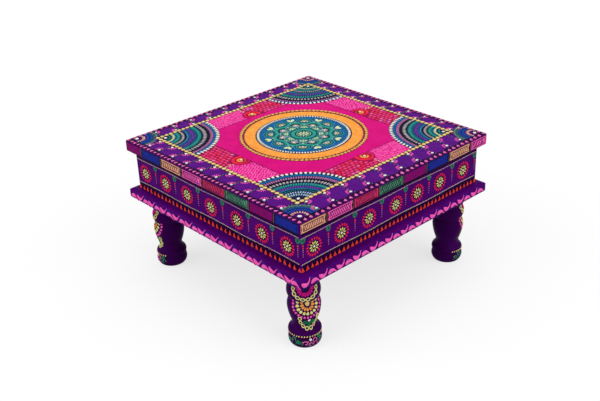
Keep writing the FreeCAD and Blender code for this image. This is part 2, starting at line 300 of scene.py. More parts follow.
class Materials:
    """Every finish of the table, each made once."""

    def __init__(self) -> None:
        """Builds the shared effects."""
        self.film = PaintFilm()
        self.grain = WoodGrain()
        self.inside = HiddenInside()
        self.wear = EdgeWear()
        self.made: dict[str, bpy.types.Material] = {}

    def start(self, name: str, specular: float) -> tuple[bpy.types.Material, Wiring, bpy.types.Node, object]:
        """A new material with its shader and its coordinates.

        Args:
            name: The material's name.
            specular: The shader's specular level.

        Returns:
            The material, its wiring, its Principled shader and its object coordinates.
        """
        material = bpy.data.materials.new(name)
        material.use_nodes = True
        material.node_tree.nodes.clear()
        wiring = Wiring(material.node_tree)
        shader = wiring.add("ShaderNodeBsdfPrincipled", None, {"Specular IOR Level": specular})
        wiring.add("ShaderNodeOutputMaterial", None, {"Surface": shader.outputs[0]})
        place = wiring.add("ShaderNodeTexCoord").outputs["Object"]
        self.made[name] = material
        return material, wiring, shader, place

    def finish(self, wiring: Wiring, shader: bpy.types.Node, colour: object, roughness: object,
               height: object, strength: float) -> None:
        """Feeds the shader.

        Args:
            wiring: Adds nodes to the material.
            shader: The Principled shader.
            colour: The socket with the colour.
            roughness: The socket with the roughness.
            height: The socket with the relief's height.
            strength: How strongly the relief shows.
        """
        inputs = {"Strength": strength, "Distance": 0.00025, "Height": height}
        bump = wiring.add("ShaderNodeBump", None, inputs).outputs[0]
        for name, socket in (("Base Color", colour), ("Roughness", roughness), ("Normal", bump)):
            wiring.tree.links.new(socket, shader.inputs[name])

    def thick_paint(self, paint: Paint) -> bpy.types.Material:
        """The material of one relief paint, made on its first use."""
        name = "thick_" + paint.name.lower()
        if name not in self.made:
            tone = paint.value
            material, wiring, shader, place = self.start(name, 0.012)
            streaks = wiring.vector("MULTIPLY", place, (320.0, 900.0, 320.0)).outputs[0]
            film = self.film.place(wiring, Vector=place, Streaks=streaks, Colour=linear(*tone.colour),
                                   Shade=linear(*tone.shade), Mottle=tone.mottle_per_m, Sheen=0.4)
            self.finish(wiring, shader, film["Colour"], film["Roughness"], film["Height"], tone.bump)
        return self.made[name]

    def painted_wood(self, grain: Grain, half_m: float, low_m: float, high_m: float) -> bpy.types.Material:
        """Purple paint on wood, darker on the legs as painted shade, and bare where the box hides it.

        Args:
            grain: How the brush marks run.
            half_m: Half the box's inner width.
            low_m: The level where the paint stops inside.
            high_m: The level of the top board's underside.

        Returns:
            The material, made on its first use.
        """
        name = "painted_wood_" + grain.name.lower()
        if name not in self.made:
            material, wiring, shader, place = self.start(name, 0.01)
            # Legs take the darker purple: painted shade.
            light, dark = SHADED_LEG_PURPLE if grain is Grain.TURNED else BOARD_PURPLE
            streaks = wiring.vector("MULTIPLY", place, grain.value).outputs[0]
            film = self.film.place(wiring, Vector=place, Streaks=streaks, Colour=linear(*light),
                                   Shade=linear(*dark), Mottle=38.0, Sheen=0.36)
            wood = self.grain.place(wiring, Streaks=streaks, Light=linear(*INNER_WOOD[0]),
                                    Dark=linear(*INNER_WOOD[1]))
            mask = self.inside.place(wiring, Vector=place, Half=half_m, Low=low_m, High=high_m,
                                     Ragged=0.004)["Mask"]
            worn = self.wear.place(wiring, Vector=place, Radius=0.0012)["Mask"]
            rubbed = wiring.blend(wiring.math("MULTIPLY", worn, 0.3), film["Colour"], linear(*RUBBED_PURPLE))
            rough = wiring.add("ShaderNodeMix", None, {0: mask, 2: film["Roughness"], 3: wood["Roughness"]})
            self.finish(wiring, shader, wiring.blend(mask, rubbed, wood["Colour"]), rough.outputs[0],
                        film["Height"], 0.35)
        return self.made[name]

    def bare_wood(self, grain: Grain) -> bpy.types.Material:
        """Planed wood with its fibres running one way, made on its first use."""
        name = "bare_wood_" + grain.name.lower()
        if name not in self.made:
            material, wiring, shader, place = self.start(name, 0.3)
            streaks = wiring.vector("MULTIPLY", place, grain.value).outputs[0]
            wood = self.grain.place(wiring, Streaks=streaks, Light=linear(*BARE_WOOD[0]),
                                    Dark=linear(*BARE_WOOD[1]))
            self.finish(wiring, shader, wood["Colour"], wood["Roughness"], wood["Height"], 0.4)
        return self.made[name]

    def zinc(self) -> bpy.types.Material:
        """Zinc-plated steel with a faint spangle, made on its first use."""
        name = "zinc_steel"
        if name not in self.made:
            material, wiring, shader, place = self.start(name, 0.5)
            spangle = wiring.noise(place, 700.0, 4.0)
            colour = wiring.blend(spangle, linear(*ZINC[0]), linear(*ZINC[1]))
            self.finish(wiring, shader, colour, wiring.range(spangle, 0.3, 0.7, 0.26, 0.44), spangle, 0.1)
            shader.inputs["Metallic"].default_value = 1.0
        return self.made[name]


def turned(points: Array, quarters: int) -> Array:
    """Points turned counterclockwise by quarter turns about the table's upright middle axis."""
    cos, sin = round(math.cos(quarters * QUARTER)), round(math.sin(quarters * QUARTER))
    x, y, z = points[..., 0], points[..., 1], points[..., 2]
    return np.stack([cos * x - sin * y, sin * x + cos * y, z], -1)


class Face:
    """A face of the table that takes paint; paint is sunk into it a little to hold on."""

    sink = 0.05

    def place(self, u: Array, v: Array, h: Array) -> Array:
        """The points at u and v of the face and h above it, with X, Y and Z on the last axis."""
        raise NotImplementedError


@dataclass(frozen=True)
class TopFace(Face):
    """The table's top face with one side at its foot: u and v start at its middle."""

    level: float
    quarters: int = 0

    def place(self, u: Array, v: Array, h: Array) -> Array:
        """u and v lie flat, and h rises from the top."""
        return turned(np.stack([u, v, self.level + h], -1), self.quarters)


@dataclass(frozen=True)
class FanFace(TopFace):
    """The top face round a fan's point, stretched along the side and across it."""

    point: tuple[float, float] = (0.0, 0.0)
    stretch: tuple[float, float] = (1.0, 1.0)

    def place(self, u: Array, v: Array, h: Array) -> Array:
        """Stretches u and v away from the point."""
        (u_start, v_start), (wide, deep) = self.point, self.stretch
        return super().place(u_start + (u - u_start) * wide, v_start + (v - v_start) * deep, h)


@dataclass(frozen=True)
class SideFace(Face):
    """An upright face: u starts at its middle, and v is a true level."""

    half: float
    quarters: int = 0

    def place(self, u: Array, v: Array, h: Array) -> Array:
        """u runs along the side, v stands up it, and h stands out from it."""
        return turned(np.stack([u, -self.half - h, v], -1), self.quarters)


@dataclass(frozen=True)
class NoseFace(Face):
    """A board's rounded edge: v runs round its section from the middle of its flat part."""

    half: float
    flat_low: float
    flat_high: float
    upper_round: float
    lower_round: float
    quarters: int = 0

    def place(self, u: Array, v: Array, h: Array) -> Array:
        """Follows the flat part, then the rounding above or below it."""
        reach = (self.flat_high - self.flat_low) / 2
        above = np.clip(v - reach, 0, self.upper_round * QUARTER) / self.upper_round
        below = np.clip(-v - reach, 0, self.lower_round * QUARTER) / self.lower_round
        upper, lower = self.upper_round, self.lower_round
        out = self.half - upper * (1 - np.cos(above)) - lower * (1 - np.cos(below))
        rise = self.flat_low + reach + np.clip(v, -reach, reach)
        rise = rise + upper * np.sin(above) - lower * np.sin(below)
        out = out + h * np.cos(above) * np.cos(below)
        rise = rise + h * (np.sin(above) - np.sin(below))
        return turned(np.stack([u + 0 * v, -out, rise], -1), self.quarters)


@dataclass(frozen=True)
class LegFace(Face):
    """A turned leg: u runs round it from the outward diagonal, and v is a true level."""

    axis: float
    radius: float
    levels: Array
    radii: Array
    quarters: int = 0
    sink = 0.35

    def place(self, u: Array, v: Array, h: Array) -> Array:
        """Turns u into an angle and stands h square to the turned outline."""
        angle = u / self.radius - QUARTER / 2
        step = 0.6
        above, below = (np.interp(v + way * step, self.levels, self.radii) for way in (1, -1))
        slope = (above - below) / (2 * step)
        square = 1 / np.sqrt(1 + slope ** 2)
        reach = np.interp(v, self.levels, self.radii) + h * square
        points = np.stack([self.axis + reach * np.cos(angle), reach * np.sin(angle) - self.axis,
                           v - h * slope * square], -1)
        return turned(points, self.quarters)


@dataclass(frozen=True)
class Dab:
    """One touch of paint: a rounded or squared plan, which a taper narrows at its start."""

    length: float
    width: float
    height: float = 0.5
    squareness: float = 2.0
    taper: float = 0.0
    sides: int = 12
    flat: bool = False

    def plan(self) -> Array:
        """The outline, counterclockwise round its middle."""
        turn = np.linspace(0, 2 * math.pi, self.sides, endpoint=False)
        power = 2 / self.squareness
        x = np.sign(np.cos(turn)) * np.abs(np.cos(turn)) ** power
        y = np.sign(np.sin(turn)) * np.abs(np.sin(turn)) ** power * (1 + self.taper * x)
        return np.stack([x * self.length / 2, y / np.abs(y).max() * self.width / 2], -1)

    def rings(self) -> Array:
        """Rows of plan share and height share, from the foot upwards."""
        if self.flat:
            return np.array([(1.0, 0.0), (1.0 - 0.3 / max(self.length, self.width), 1.0)])
        return np.array([(1.0, 0.0), (0.96, 0.45), (0.66, 0.88)])


@dataclass(frozen=True)
class Sector(Dab):
    """A flat quarter of a disc: length is its radius, and its point is where it is laid."""

    flat: bool = True

    def plan(self) -> Array:
        """The quarter's point, then its rim."""
        turn = np.linspace(0, QUARTER, self.sides)
        rim = np.stack([np.cos(turn), np.sin(turn)], -1) * self.length
        return np.concatenate([np.zeros((1, 2)), rim])


@dataclass(frozen=True)
class CutDisc(Dab):
    """A flat disc cut straight across: length is its radius, width the cut's distance from its centre."""

    flat: bool = True

    def plan(self) -> Array:
        """The arc from one end of the cut to the other."""
        turn = arc(self.sides, 0.0, cut_span(self.length, self.width))
        return np.stack([np.cos(turn), np.sin(turn)], -1) * self.length


def cut_span(radius: float, cut: float) -> float:
    """How many degrees of a circle are left by a straight cut so far from its centre."""
    return 180 + 2 * math.degrees(math.asin(min(cut / radius, 1)))


def fan(count: int, middle: float, span: float) -> Array:
    """Directions in radians, spread evenly over a span in degrees round a middle one."""
    return middle + (np.arange(count) + 0.5 - count / 2) * math.radians(span) / count


def arc(count: int, middle: float, span: float) -> Array:
    """Directions like a fan's, but with the first and last at the span's ends."""
    half = math.radians(span) / 2
    return np.linspace(middle - half, middle + half, count)


def full_turn(count: int, phase: float = 0.0) -> Array:
    """Even directions all the way round, from a phase on."""
    return phase + np.arange(count) * 2 * math.pi / count


def around(centre: tuple[float, float], radius: Number, turns: Number) -> tuple[Array, Array]:
    """The u and v of places round a centre, so far from it and in those directions."""
    return centre[0] + radius * np.cos(turns), centre[1] + radius * np.sin(turns)


def ovals(centre: tuple[float, float], radius: float, turns: Array, bend: Array, rise: float,
          half_width: float) -> tuple[Array, Array]:
    """Outlines of ovals that sit round a centre, one row for each.

    Args:
        centre: The centre's u and v.
        radius: The ovals' distance from it.
        turns: Their directions from it.
        bend: Where the points lie round an oval's middle, counted from the centre's radius.
        rise: Half an oval's length along that radius.
        half_width: Half its width across it.

    Returns:
        The points' u and v.
    """
    cos, sin = np.cos(turns)[:, None], np.sin(turns)[:, None]
    out, beside = radius + rise * np.cos(bend), half_width * np.sin(bend)
    return centre[0] + out * cos - beside * sin, centre[1] + out * sin + beside * cos


class Relief:
    """Paint of one pot, laid in small closed forms that make one piece."""

    def __init__(self, paint: Paint) -> None:
        """Takes the piece's paint."""
        self.paint = paint
        self.points: list[Array] = []
        self.faces: list[tuple[int, ...]] = []
        self.count = 0

    def keep(self, points: Array, tables: Sequence[Array]) -> None:
        """Adds forms of one kind.

        Args:
            points: Points of each form: forms, points, X Y Z.
            tables: Tables of corner numbers within one form, one for each number of corners.
        """
        forms, size = points.shape[:2]
        starts = self.count + size * np.arange(forms)
        for table in tables:
            moved = starts[:, None, None] + table[None]
            self.faces.extend(map(tuple, moved.reshape(-1, table.shape[1]).tolist()))
        self.points.append(points.reshape(-1, 3))
        self.count += forms * size

    def build(self, name: str, material: bpy.types.Material) -> None:
        """Makes the piece of that name, dresses it and lets it ride on the table."""
        mesh = bpy.data.meshes.new(name)
        mesh.from_pydata((np.concatenate(self.points) * MM).tolist(), [], self.faces)
        mesh.shade_smooth()
        mesh.set_sharp_from_angle(angle=math.radians(50))
        piece = bpy.data.objects.new(name, mesh)
        bpy.context.scene.collection.objects.link(piece)
        mesh.materials.append(material)
        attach(piece, "root")
        log.info("%s: %d faces of %s", name, len(self.faces), self.paint.name)


class Painter:
    """Lays dabs and strokes by name and paint, and builds a piece of each name at the end."""

    def __init__(self, materials: Materials, seed: int) -> None:
        """Takes the materials and the seed of the hand's small irregularities."""
        self.materials = materials
        self.pots: dict[str, Relief] = {}
        self.random = np.random.default_rng(seed)

    def sway(self, count: int, most: float) -> Array:
        """Small random offsets, at most so large."""
        return self.random.uniform(-most, most, count)

    def pot(self, name: str, paint: Paint) -> Relief:
        """The relief of this name, which is all of one paint."""
        pot = self.pots.setdefault(name, Relief(paint))
        if pot.paint is not paint:
            log.warning("%s is kept in %s, not in %s", name, pot.paint.name, paint.name)
        return pot

    def dabs(self, name: str, paint: Paint, face: Face, u: Number, v: Number, angle: Number, dab: Dab,
             level: float = 0.0, size: Number = 1.0, loose: float = 0.15) -> None:
        """Lays a dab at each place.

        Args:
            name: The piece that the paint belongs to.
            paint: Its paint.
            face: The face it is laid on.
            u: Places along the face.
            v: Places up the face.
            angle: How far each dab is turned on the face, in radians.
            dab: The dab's form.
            level: Height of the paint already there.
            size: Each dab's size as a share of the form's.
            loose: How far the hand strays.
        """
        u, v, angle, size = (np.ravel(a).astype(float) for a in np.broadcast_arrays(u, v, angle, size))
        forms = len(u)
        if not dab.flat:
            u, v = u + self.sway(forms, loose), v + self.sway(forms, loose)
            angle = angle + self.sway(forms, 0.4 * loose)
            size = size * (1 + self.sway(forms, 0.3 * loose))
        plan, rings = dab.plan(), dab.rings()
        sides = len(plan)
        x, y = size[:, None] * plan[:, 0], size[:, None] * plan[:, 1]
        du = np.cos(angle)[:, None] * x - np.sin(angle)[:, None] * y
        dv = np.sin(angle)[:, None] * x + np.cos(angle)[:, None] * y
        middle_u, middle_v = du.mean(1)[:, None], dv.mean(1)[:, None]
        share = rings[:, 0][None, :, None]
        ring_u = (u[:, None] + middle_u)[:, None] + share * (du - middle_u)[:, None]
        ring_v = (v[:, None] + middle_v)[:, None] + share * (dv - middle_v)[:, None]
        heights = np.where(rings[:, 1] > 0, level + dab.height * rings[:, 1], -face.sink)
        columns = []
        for ring, middle in ((ring_u, u[:, None] + middle_u), (ring_v, v[:, None] + middle_v)):
            columns.append(np.concatenate([ring.reshape(forms, -1), middle, middle], 1))
        lifts = np.concatenate([np.repeat(heights, sides), [-face.sink, level + dab.height]])
        points = face.place(*columns, np.broadcast_to(lifts, columns[0].shape))
        here = np.arange(sides)
        after = (here + 1) % sides
        last, foot = (len(rings) - 1) * sides, len(rings) * sides
        quads = [np.stack([row + here, row + after, row + sides + after, row + sides + here], -1)
                 for row in range(0, last, sides)]
        lids = [np.stack([last + here, last + after, np.full(sides, foot + 1)], -1),
                np.stack([after, here, np.full(sides, foot)], -1)]
        self.pot(name, paint).keep(points, [np.concatenate(quads), np.concatenate(lids)])

    def strokes(self, name: str, paint: Paint, face: Face, u: Array, v: Array, width: Number, height: float,
                level: float = 0.0, closed: bool = False, flat: bool = False) -> None:
        """Draws lines.

        Args:
            name: The piece that the paint belongs to.
            paint: Its paint.
            face: The face they are drawn on.
            u: Points along the face, one row for each line.
            v: Points up the face, likewise.
            width: The line's width, or its widths from start to end.
            height: The height of its crown.
            level: Height of the paint already there.
            closed: Whether each line runs back into its start.
            flat: Whether its top is flat, as on a wide band.
        """
        u, v = (np.atleast_2d(a).astype(float) for a in np.broadcast_arrays(u, v))
        if closed:
            run_u, run_v = (np.roll(a, -1, 1) - np.roll(a, 1, 1) for a in (u, v))
        else:
            run_u, run_v = np.gradient(u, axis=1), np.gradient(v, axis=1)
        long = np.hypot(run_u, run_v)
        half = np.broadcast_to(np.asarray(width, float) / 2, u.shape)
        # Half the line's section from its foot up: shares of half its width, and of its height.
        shares, lifts = np.array([(1, 0), (0.92, 0.5), (0.5, 0.93)]).T
        if flat:
            edge = 1 - 0.15 / float(half.max())
            shares, lifts = np.array([(1, 0), (edge, 1), (0.93 * edge, 1), (0.86 * edge, 1)]).T
        shares, lifts = np.concatenate([-shares, shares[::-1]]), np.concatenate([lifts, lifts[::-1]])
        heights = np.where(lifts > 0, level + height * lifts, -face.sink)
        across = shares * (half / long)[..., None]
        section_u = u[..., None] - run_v[..., None] * across
        section_v = v[..., None] + run_u[..., None] * across
        points = face.place(section_u, section_v, np.broadcast_to(heights, across.shape))
        lines, steps, corners = across.shape
        rows = np.arange(steps if closed else steps - 1)
        row, column = (a.ravel() for a in np.meshgrid(rows, np.arange(corners), indexing="ij"))
        next_row, next_column = (row + 1) % steps, (column + 1) % corners
        tables = [np.stack([row * corners + column, next_row * corners + column,
                            next_row * corners + next_column, row * corners + next_column], -1)]
        if not closed:
            ends = np.arange(corners)
            tables.append(np.stack([ends, (steps - 1) * corners + ends[::-1]]))
        self.pot(name, paint).keep(points.reshape(lines, steps * corners, 3), tables)

    def round(self, name: str, paint: Paint, face: Face, centre: tuple[float, float], radius: float,
              turns: Array, dab: Dab, slant: float = 0.0, level: float = 0.0) -> None:
        """Lays dabs round a centre, each along its radius or slanted from it.

        Args:
            name: The piece that the paint belongs to.
            paint: Its paint.
            face: The face they are laid on.
            centre: The centre's u and v.
            radius: Their distance from it.
            turns: Their directions from it.
            dab: The dabs' form.
            slant: How far each is turned from its radius.
            level: Height of the paint already there.
        """
        self.dabs(name, paint, face, *around(centre, radius, turns), turns + slant, dab, level)

    def ring(self, name: str, paint: Paint, face: Face, centre: tuple[float, float], radius: Number,
             turns: Array, width: Number, height: float, level: float = 0.0, flat: bool = False) -> None:
        """Draws a line round a centre, closed if its directions go all the way round.

        Args:
            name: The piece that the paint belongs to.
            paint: Its paint.
            face: The face it is drawn on.
            centre: The centre's u and v.
            radius: Its distance from it, or its distances.
            turns: Its directions from it.
            width: The line's width.
            height: The height of its crown.
            level: Height of the paint already there.
            flat: Whether its top is flat.
        """
        whole = turns[-1] - turns[0] > 1.9 * math.pi
        self.strokes(name, paint, face, *around(centre, radius, turns), width, height, level,
                     closed=whole, flat=flat)

    def band(self, name: str, paint: Paint, face: Face, ends: Sequence[float], v: float, width: float,
             height: float, level: float = 0.0) -> None:
        """Draws one straight flat band.

        Args:
            name: The piece that the paint belongs to.
            paint: Its paint.
            face: The face it is drawn on.
            ends: Where it starts and ends along the face.
            v: Its middle line's place up the face.
            width: Its width.
            height: Its height.
            level: Height of the paint already there.
        """
        self.strokes(name, paint, face, np.array(ends), v, width, height, level, flat=True)

    def build(self) -> None:
        """Builds every piece."""
        for name, relief in self.pots.items():
            relief.build(name, self.materials.thick_paint(relief.paint))


class TableSizes:
    """The table's own sizes in millimetres: its eased edge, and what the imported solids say."""

    edge_round = 1.5

    def __init__(self) -> None:
        """Measures the frame's nodes."""
        top_low, top_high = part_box("top_board")
        apron_low, apron_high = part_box("apron_front")
        rail_low, rail_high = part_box("base_rail_front")
        leg_low, leg_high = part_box("leg_front_right")
        self.top_level, self.slab_low, self.top_half = top_high.z / MM, top_low.z / MM, top_high.x / MM
        self.apron_half, self.apron_inner_half = -apron_low.y / MM, -apron_high.y / MM
        self.rail_half, self.rail_low, self.rail_high = -rail_low.y / MM, rail_low.z / MM, rail_high.z / MM
        self.leg_axis = (leg_low.x + leg_high.x) / 2 / MM


@dataclass
class Ornament:
    """The ornament of one part of the table."""

    painter: Painter
    table: TableSizes

    def lay(self) -> None:
        """Lays it."""
        raise NotImplementedError


@dataclass
class Layout(Ornament):
    """Where the painted bands of the top lie. The pattern sits a little off the middle."""

    rope_out: tuple[float, ...] = (151.8, 146.6, 159.2, 158.4)
    middle_shift: tuple[float, ...] = (-5.9, 9.0, 5.7, -4.2)
    half_fan_lift: float = 7.4
    chain_shift: tuple[float, ...] = (-2.7, 3.2, 5.7, -4.2)
    rope_width: float = 5.4
    strip_width: float = 39.0
    fan_radii: tuple[float, ...] = (86.0, 89.0, 89.5, 87.0)
    fan_stretch: tuple[tuple[float, float], ...] = ((0.94, 1.06), (0.94, 1.02), (0.94, 1.05), (1.0, 1.045))
    fan_gap: float = 1.5

    def face(self, side: int) -> TopFace:
        """The top with that side at its foot."""
        return TopFace(self.table.top_level, side)

    def rope_inside(self, side: int) -> float:
        """Distance of the rope's inner edge from the middle on one side."""
        return self.rope_out[side % len(SIDES)] - self.rope_width / 2

    def field_out(self, side: int) -> float:
        """Distance of the magenta field's edge from the middle on one side."""
        return self.rope_inside(side) - self.strip_width

    def half_fan_centre(self, side: int) -> tuple[float, float]:
        """The middle of the half fan on one side."""
        return self.middle_shift[side], -self.field_out(side) - self.half_fan_lift

    def clear(self, u: Array, v: Array, side: int, half_fan: float) -> Array:
        """Which places of a side's strip lie clear of its fans.

        Args:
            u: Places along the side.
            v: Places up from it.
            side: The side's number.
            half_fan: The radius of the half fan in its middle.

        Returns:
            True for each place that lies clear.
        """
        before, after, foot = self.rope_inside(side - 1), self.rope_inside(side + 1), self.rope_inside(side)
        deep, wide = self.fan_stretch[side - 1]
        fan_u, fan_v = self.half_fan_centre(side)
        gaps = [np.hypot(u - fan_u, v - fan_v) - half_fan]
        for corner, fan_side, (along, across) in ((-before, side - 1, (wide, deep)),
                                                  (after, side, self.fan_stretch[side])):
            gaps.append(np.hypot((u - corner) / along, (v + foot) / across) - self.fan_radii[fan_side])
        return np.min(gaps, 0) > self.fan_gap


@dataclass
class TopBorder(Layout):
    """The painted border of the top: edge petals, dark line, lozenges and chains of dots."""

    petal_counts: tuple[int, ...] = (44, 37, 42, 38)
    petal_sizes: tuple[float, ...] = (0.84, 1.0, 0.9, 1.0)
    petal_insets: tuple[float, ...] = (4.9, 4.9, 4.3, 4.3)
    line_insets: tuple[float, ...] = (9.3, 9.3, 8.0, 8.0)
    chain_pitch: float = 33.0
    chain_count: int = 10
    chain_lead: float = 7.0
    thread_lag: float = 4.8
    inner_dot_gap: float = 5.6
    outer_dot_insets: tuple[float, ...] = (14.4, 16.0, 11.2, 10.8)
    corner_insets: tuple[float, ...] = (15.5, 15.5, 10.6, 9.2)
    corner_clear: float = 45.0
    halo_radius: float = 5.7
    halo_scales: tuple[float, ...] = (1.0, 1.0, 0.78, 0.86)

    def lay(self) -> None:
        """Lays the border on all four sides."""
        for side in range(len(SIDES)):
            self.edge(side)
            self.chains(side)
            self.corner(side)

    def edge(self, side: int) -> None:
        """Plump petals along one edge, with a dark line inside them."""
        half, face, after = self.table.top_half, self.face(side), (side + 1) % len(SIDES)
        line, out = half - self.line_insets[side], half - self.petal_insets[side]
        flat_end = half - self.table.edge_round - 0.2
        self.painter.band("edge_ground", Paint.DARK_PURPLE, face, (-flat_end, half - self.line_insets[after]),
                          -(line + flat_end) / 2, flat_end - line, 0.1)
        along = np.linspace(self.petal_insets[side - 1] - half, half - self.petal_insets[after],
                            self.petal_counts[side], endpoint=False)
        petal = Dab(6.8, 5.0, 0.8, squareness=2.3, taper=0.94, sides=12)
        self.painter.dabs("edge_petals", Paint.PETAL_PINK, face, along, -out, math.radians(-122), petal, 0.05,
                          size=self.petal_sizes[side], loose=0.35)
        run = np.linspace(self.line_insets[side - 1] - half, half - self.line_insets[after], 60)
        self.painter.strokes("edge_line", Paint.BLACK, face, run, 0.25 * np.sin(run / 7) - line, 1.4, 0.3)

    def chains(self, side: int) -> None:
        """Lozenges, with threads of dots and haloed beads between them."""
        face = self.face(side)
        limit = self.table.top_half - self.corner_clear
        steps = np.arange(self.chain_count) - (self.chain_count - 1) / 2
        chain = self.chain_shift[side] + steps * self.chain_pitch
        inner = np.clip(chain + self.chain_lead / 2, -limit, limit)
        outer = np.clip(chain - self.chain_lead / 2, -limit, limit)
        thread = np.clip(chain + self.chain_lead / 2 - self.thread_lag, -limit, limit)
        rope, line = self.rope_out[side] + self.rope_width / 2, self.table.top_half - self.line_insets[side]
        lozenge = Dab(line - rope + 4.5, line - rope - 5.5, 0.22, squareness=3.0, sides=28, flat=True)
        self.painter.dabs("border_lozenges", Paint.VIOLET, face, (thread[1:] + thread[:-1]) / 2,
                          -(rope + line) / 2, QUARTER / 2, lozenge)
        self.halos(side, inner[:-1], outer)
        self.threads(face, thread, np.linspace(rope + 1.5, line - 2.5, 9))

    def halos(self, side: int, inner: Array, outer: Array) -> None:
        """Cream beads, each half ringed by small pink petals.

        Args:
            side: The side's number.
            inner: Where the beads beside the rope lie along the side.
            outer: Where those beside the dark line lie.
        """
        painter, face, scale = self.painter, self.face(side), self.halo_scales[side]
        inner_out = self.rope_out[side] + self.inner_dot_gap
        outer_out = self.table.top_half - self.outer_dot_insets[side]
        petal = Dab(4.4 * scale, 1.7 * scale, 0.5, taper=0.3, sides=10)
        bead = Dab(4.6 * scale, 4.0 * scale, 0.9)
        for places, out, facing in ((inner, inner_out, -QUARTER / 2), (outer, outer_out, INWARDS)):
            painter.dabs("border_beads", Paint.CREAM, face, places, -out, 0.0, bead)
            for place in places:
                painter.round("border_halos", Paint.PINK, face, (place, -out), self.halo_radius * scale,
                              fan(5, facing, 136), petal)

    def threads(self, face: TopFace, places: Array, outs: Array) -> None:
        """Black zigzag threads across the border, with a green dot at each bend.

        Args:
            face: The top's face.
            places: Where the threads lie along the side.
            outs: Distances of their bends from the middle.
        """
        dot = Dab(1.7, 1.5, 0.5, sides=8)
        for place in places:
            zigzag = place + 0.8 * (-1.0) ** np.arange(len(outs))
            self.painter.strokes("border_threads", Paint.BLACK, face, zigzag, -outs, 1.3, 0.25)
            self.painter.dabs("border_thread_dots", Paint.SAGE, face, zigzag, -outs, 0.0, dot)

    def corner(self, side: int) -> None:
        """A small fan in the corner at the right end of a side."""
        painter, face, half = self.painter, self.face(side), self.table.top_half
        centre = (half - self.corner_insets[(side + 1) % len(SIDES)], self.corner_insets[side] - half)
        painter.dabs("corner_beads", Paint.CREAM, face, *centre, QUARTER / 2, Dab(6.2, 4.8, 0.9))
        painter.ring("corner_blue", Paint.ROYAL_BLUE, face, centre, 19.6, arc(30, INWARDS, 128), 9.4, 0.25,
                     flat=True)
        painter.ring("corner_navy", Paint.NAVY, face, centre, 19.8, arc(30, INWARDS, 124), 0.9, 0.2, 0.25)
        painter.ring("corner_green", Paint.GREEN, face, centre, 25.8, arc(30, INWARDS, 112), 1.4, 0.35)
        painter.round("corner_petals", Paint.PEACH, face, centre, 10.6, fan(9, INWARDS, 156),
                      Dab(4.8, 2.1, 0.5, taper=0.3, sides=10))
        for radius, count in ((17.2, 13), (22.4, 16)):
            painter.round("corner_blue_dashes", Paint.BLUE, face, centre, radius, fan(count, INWARDS, 120),
                          Dab(3.2, 1.5, 0.3, sides=8), level=0.25)
        painter.round("corner_scallops", Paint.SAGE, face, centre, 29.4, fan(11, INWARDS, 106),
                      Dab(3.0, 4.6, 0.45, sides=10))


@dataclass(frozen=True)
class FanRing:
    """One ring of a quarter fan: radial dashes of one paint, or a plain line where the count is 0."""

    name: str
    paint: Paint
    radius: float
    length: float
    width: float
    count: int
    height: float = 0.55


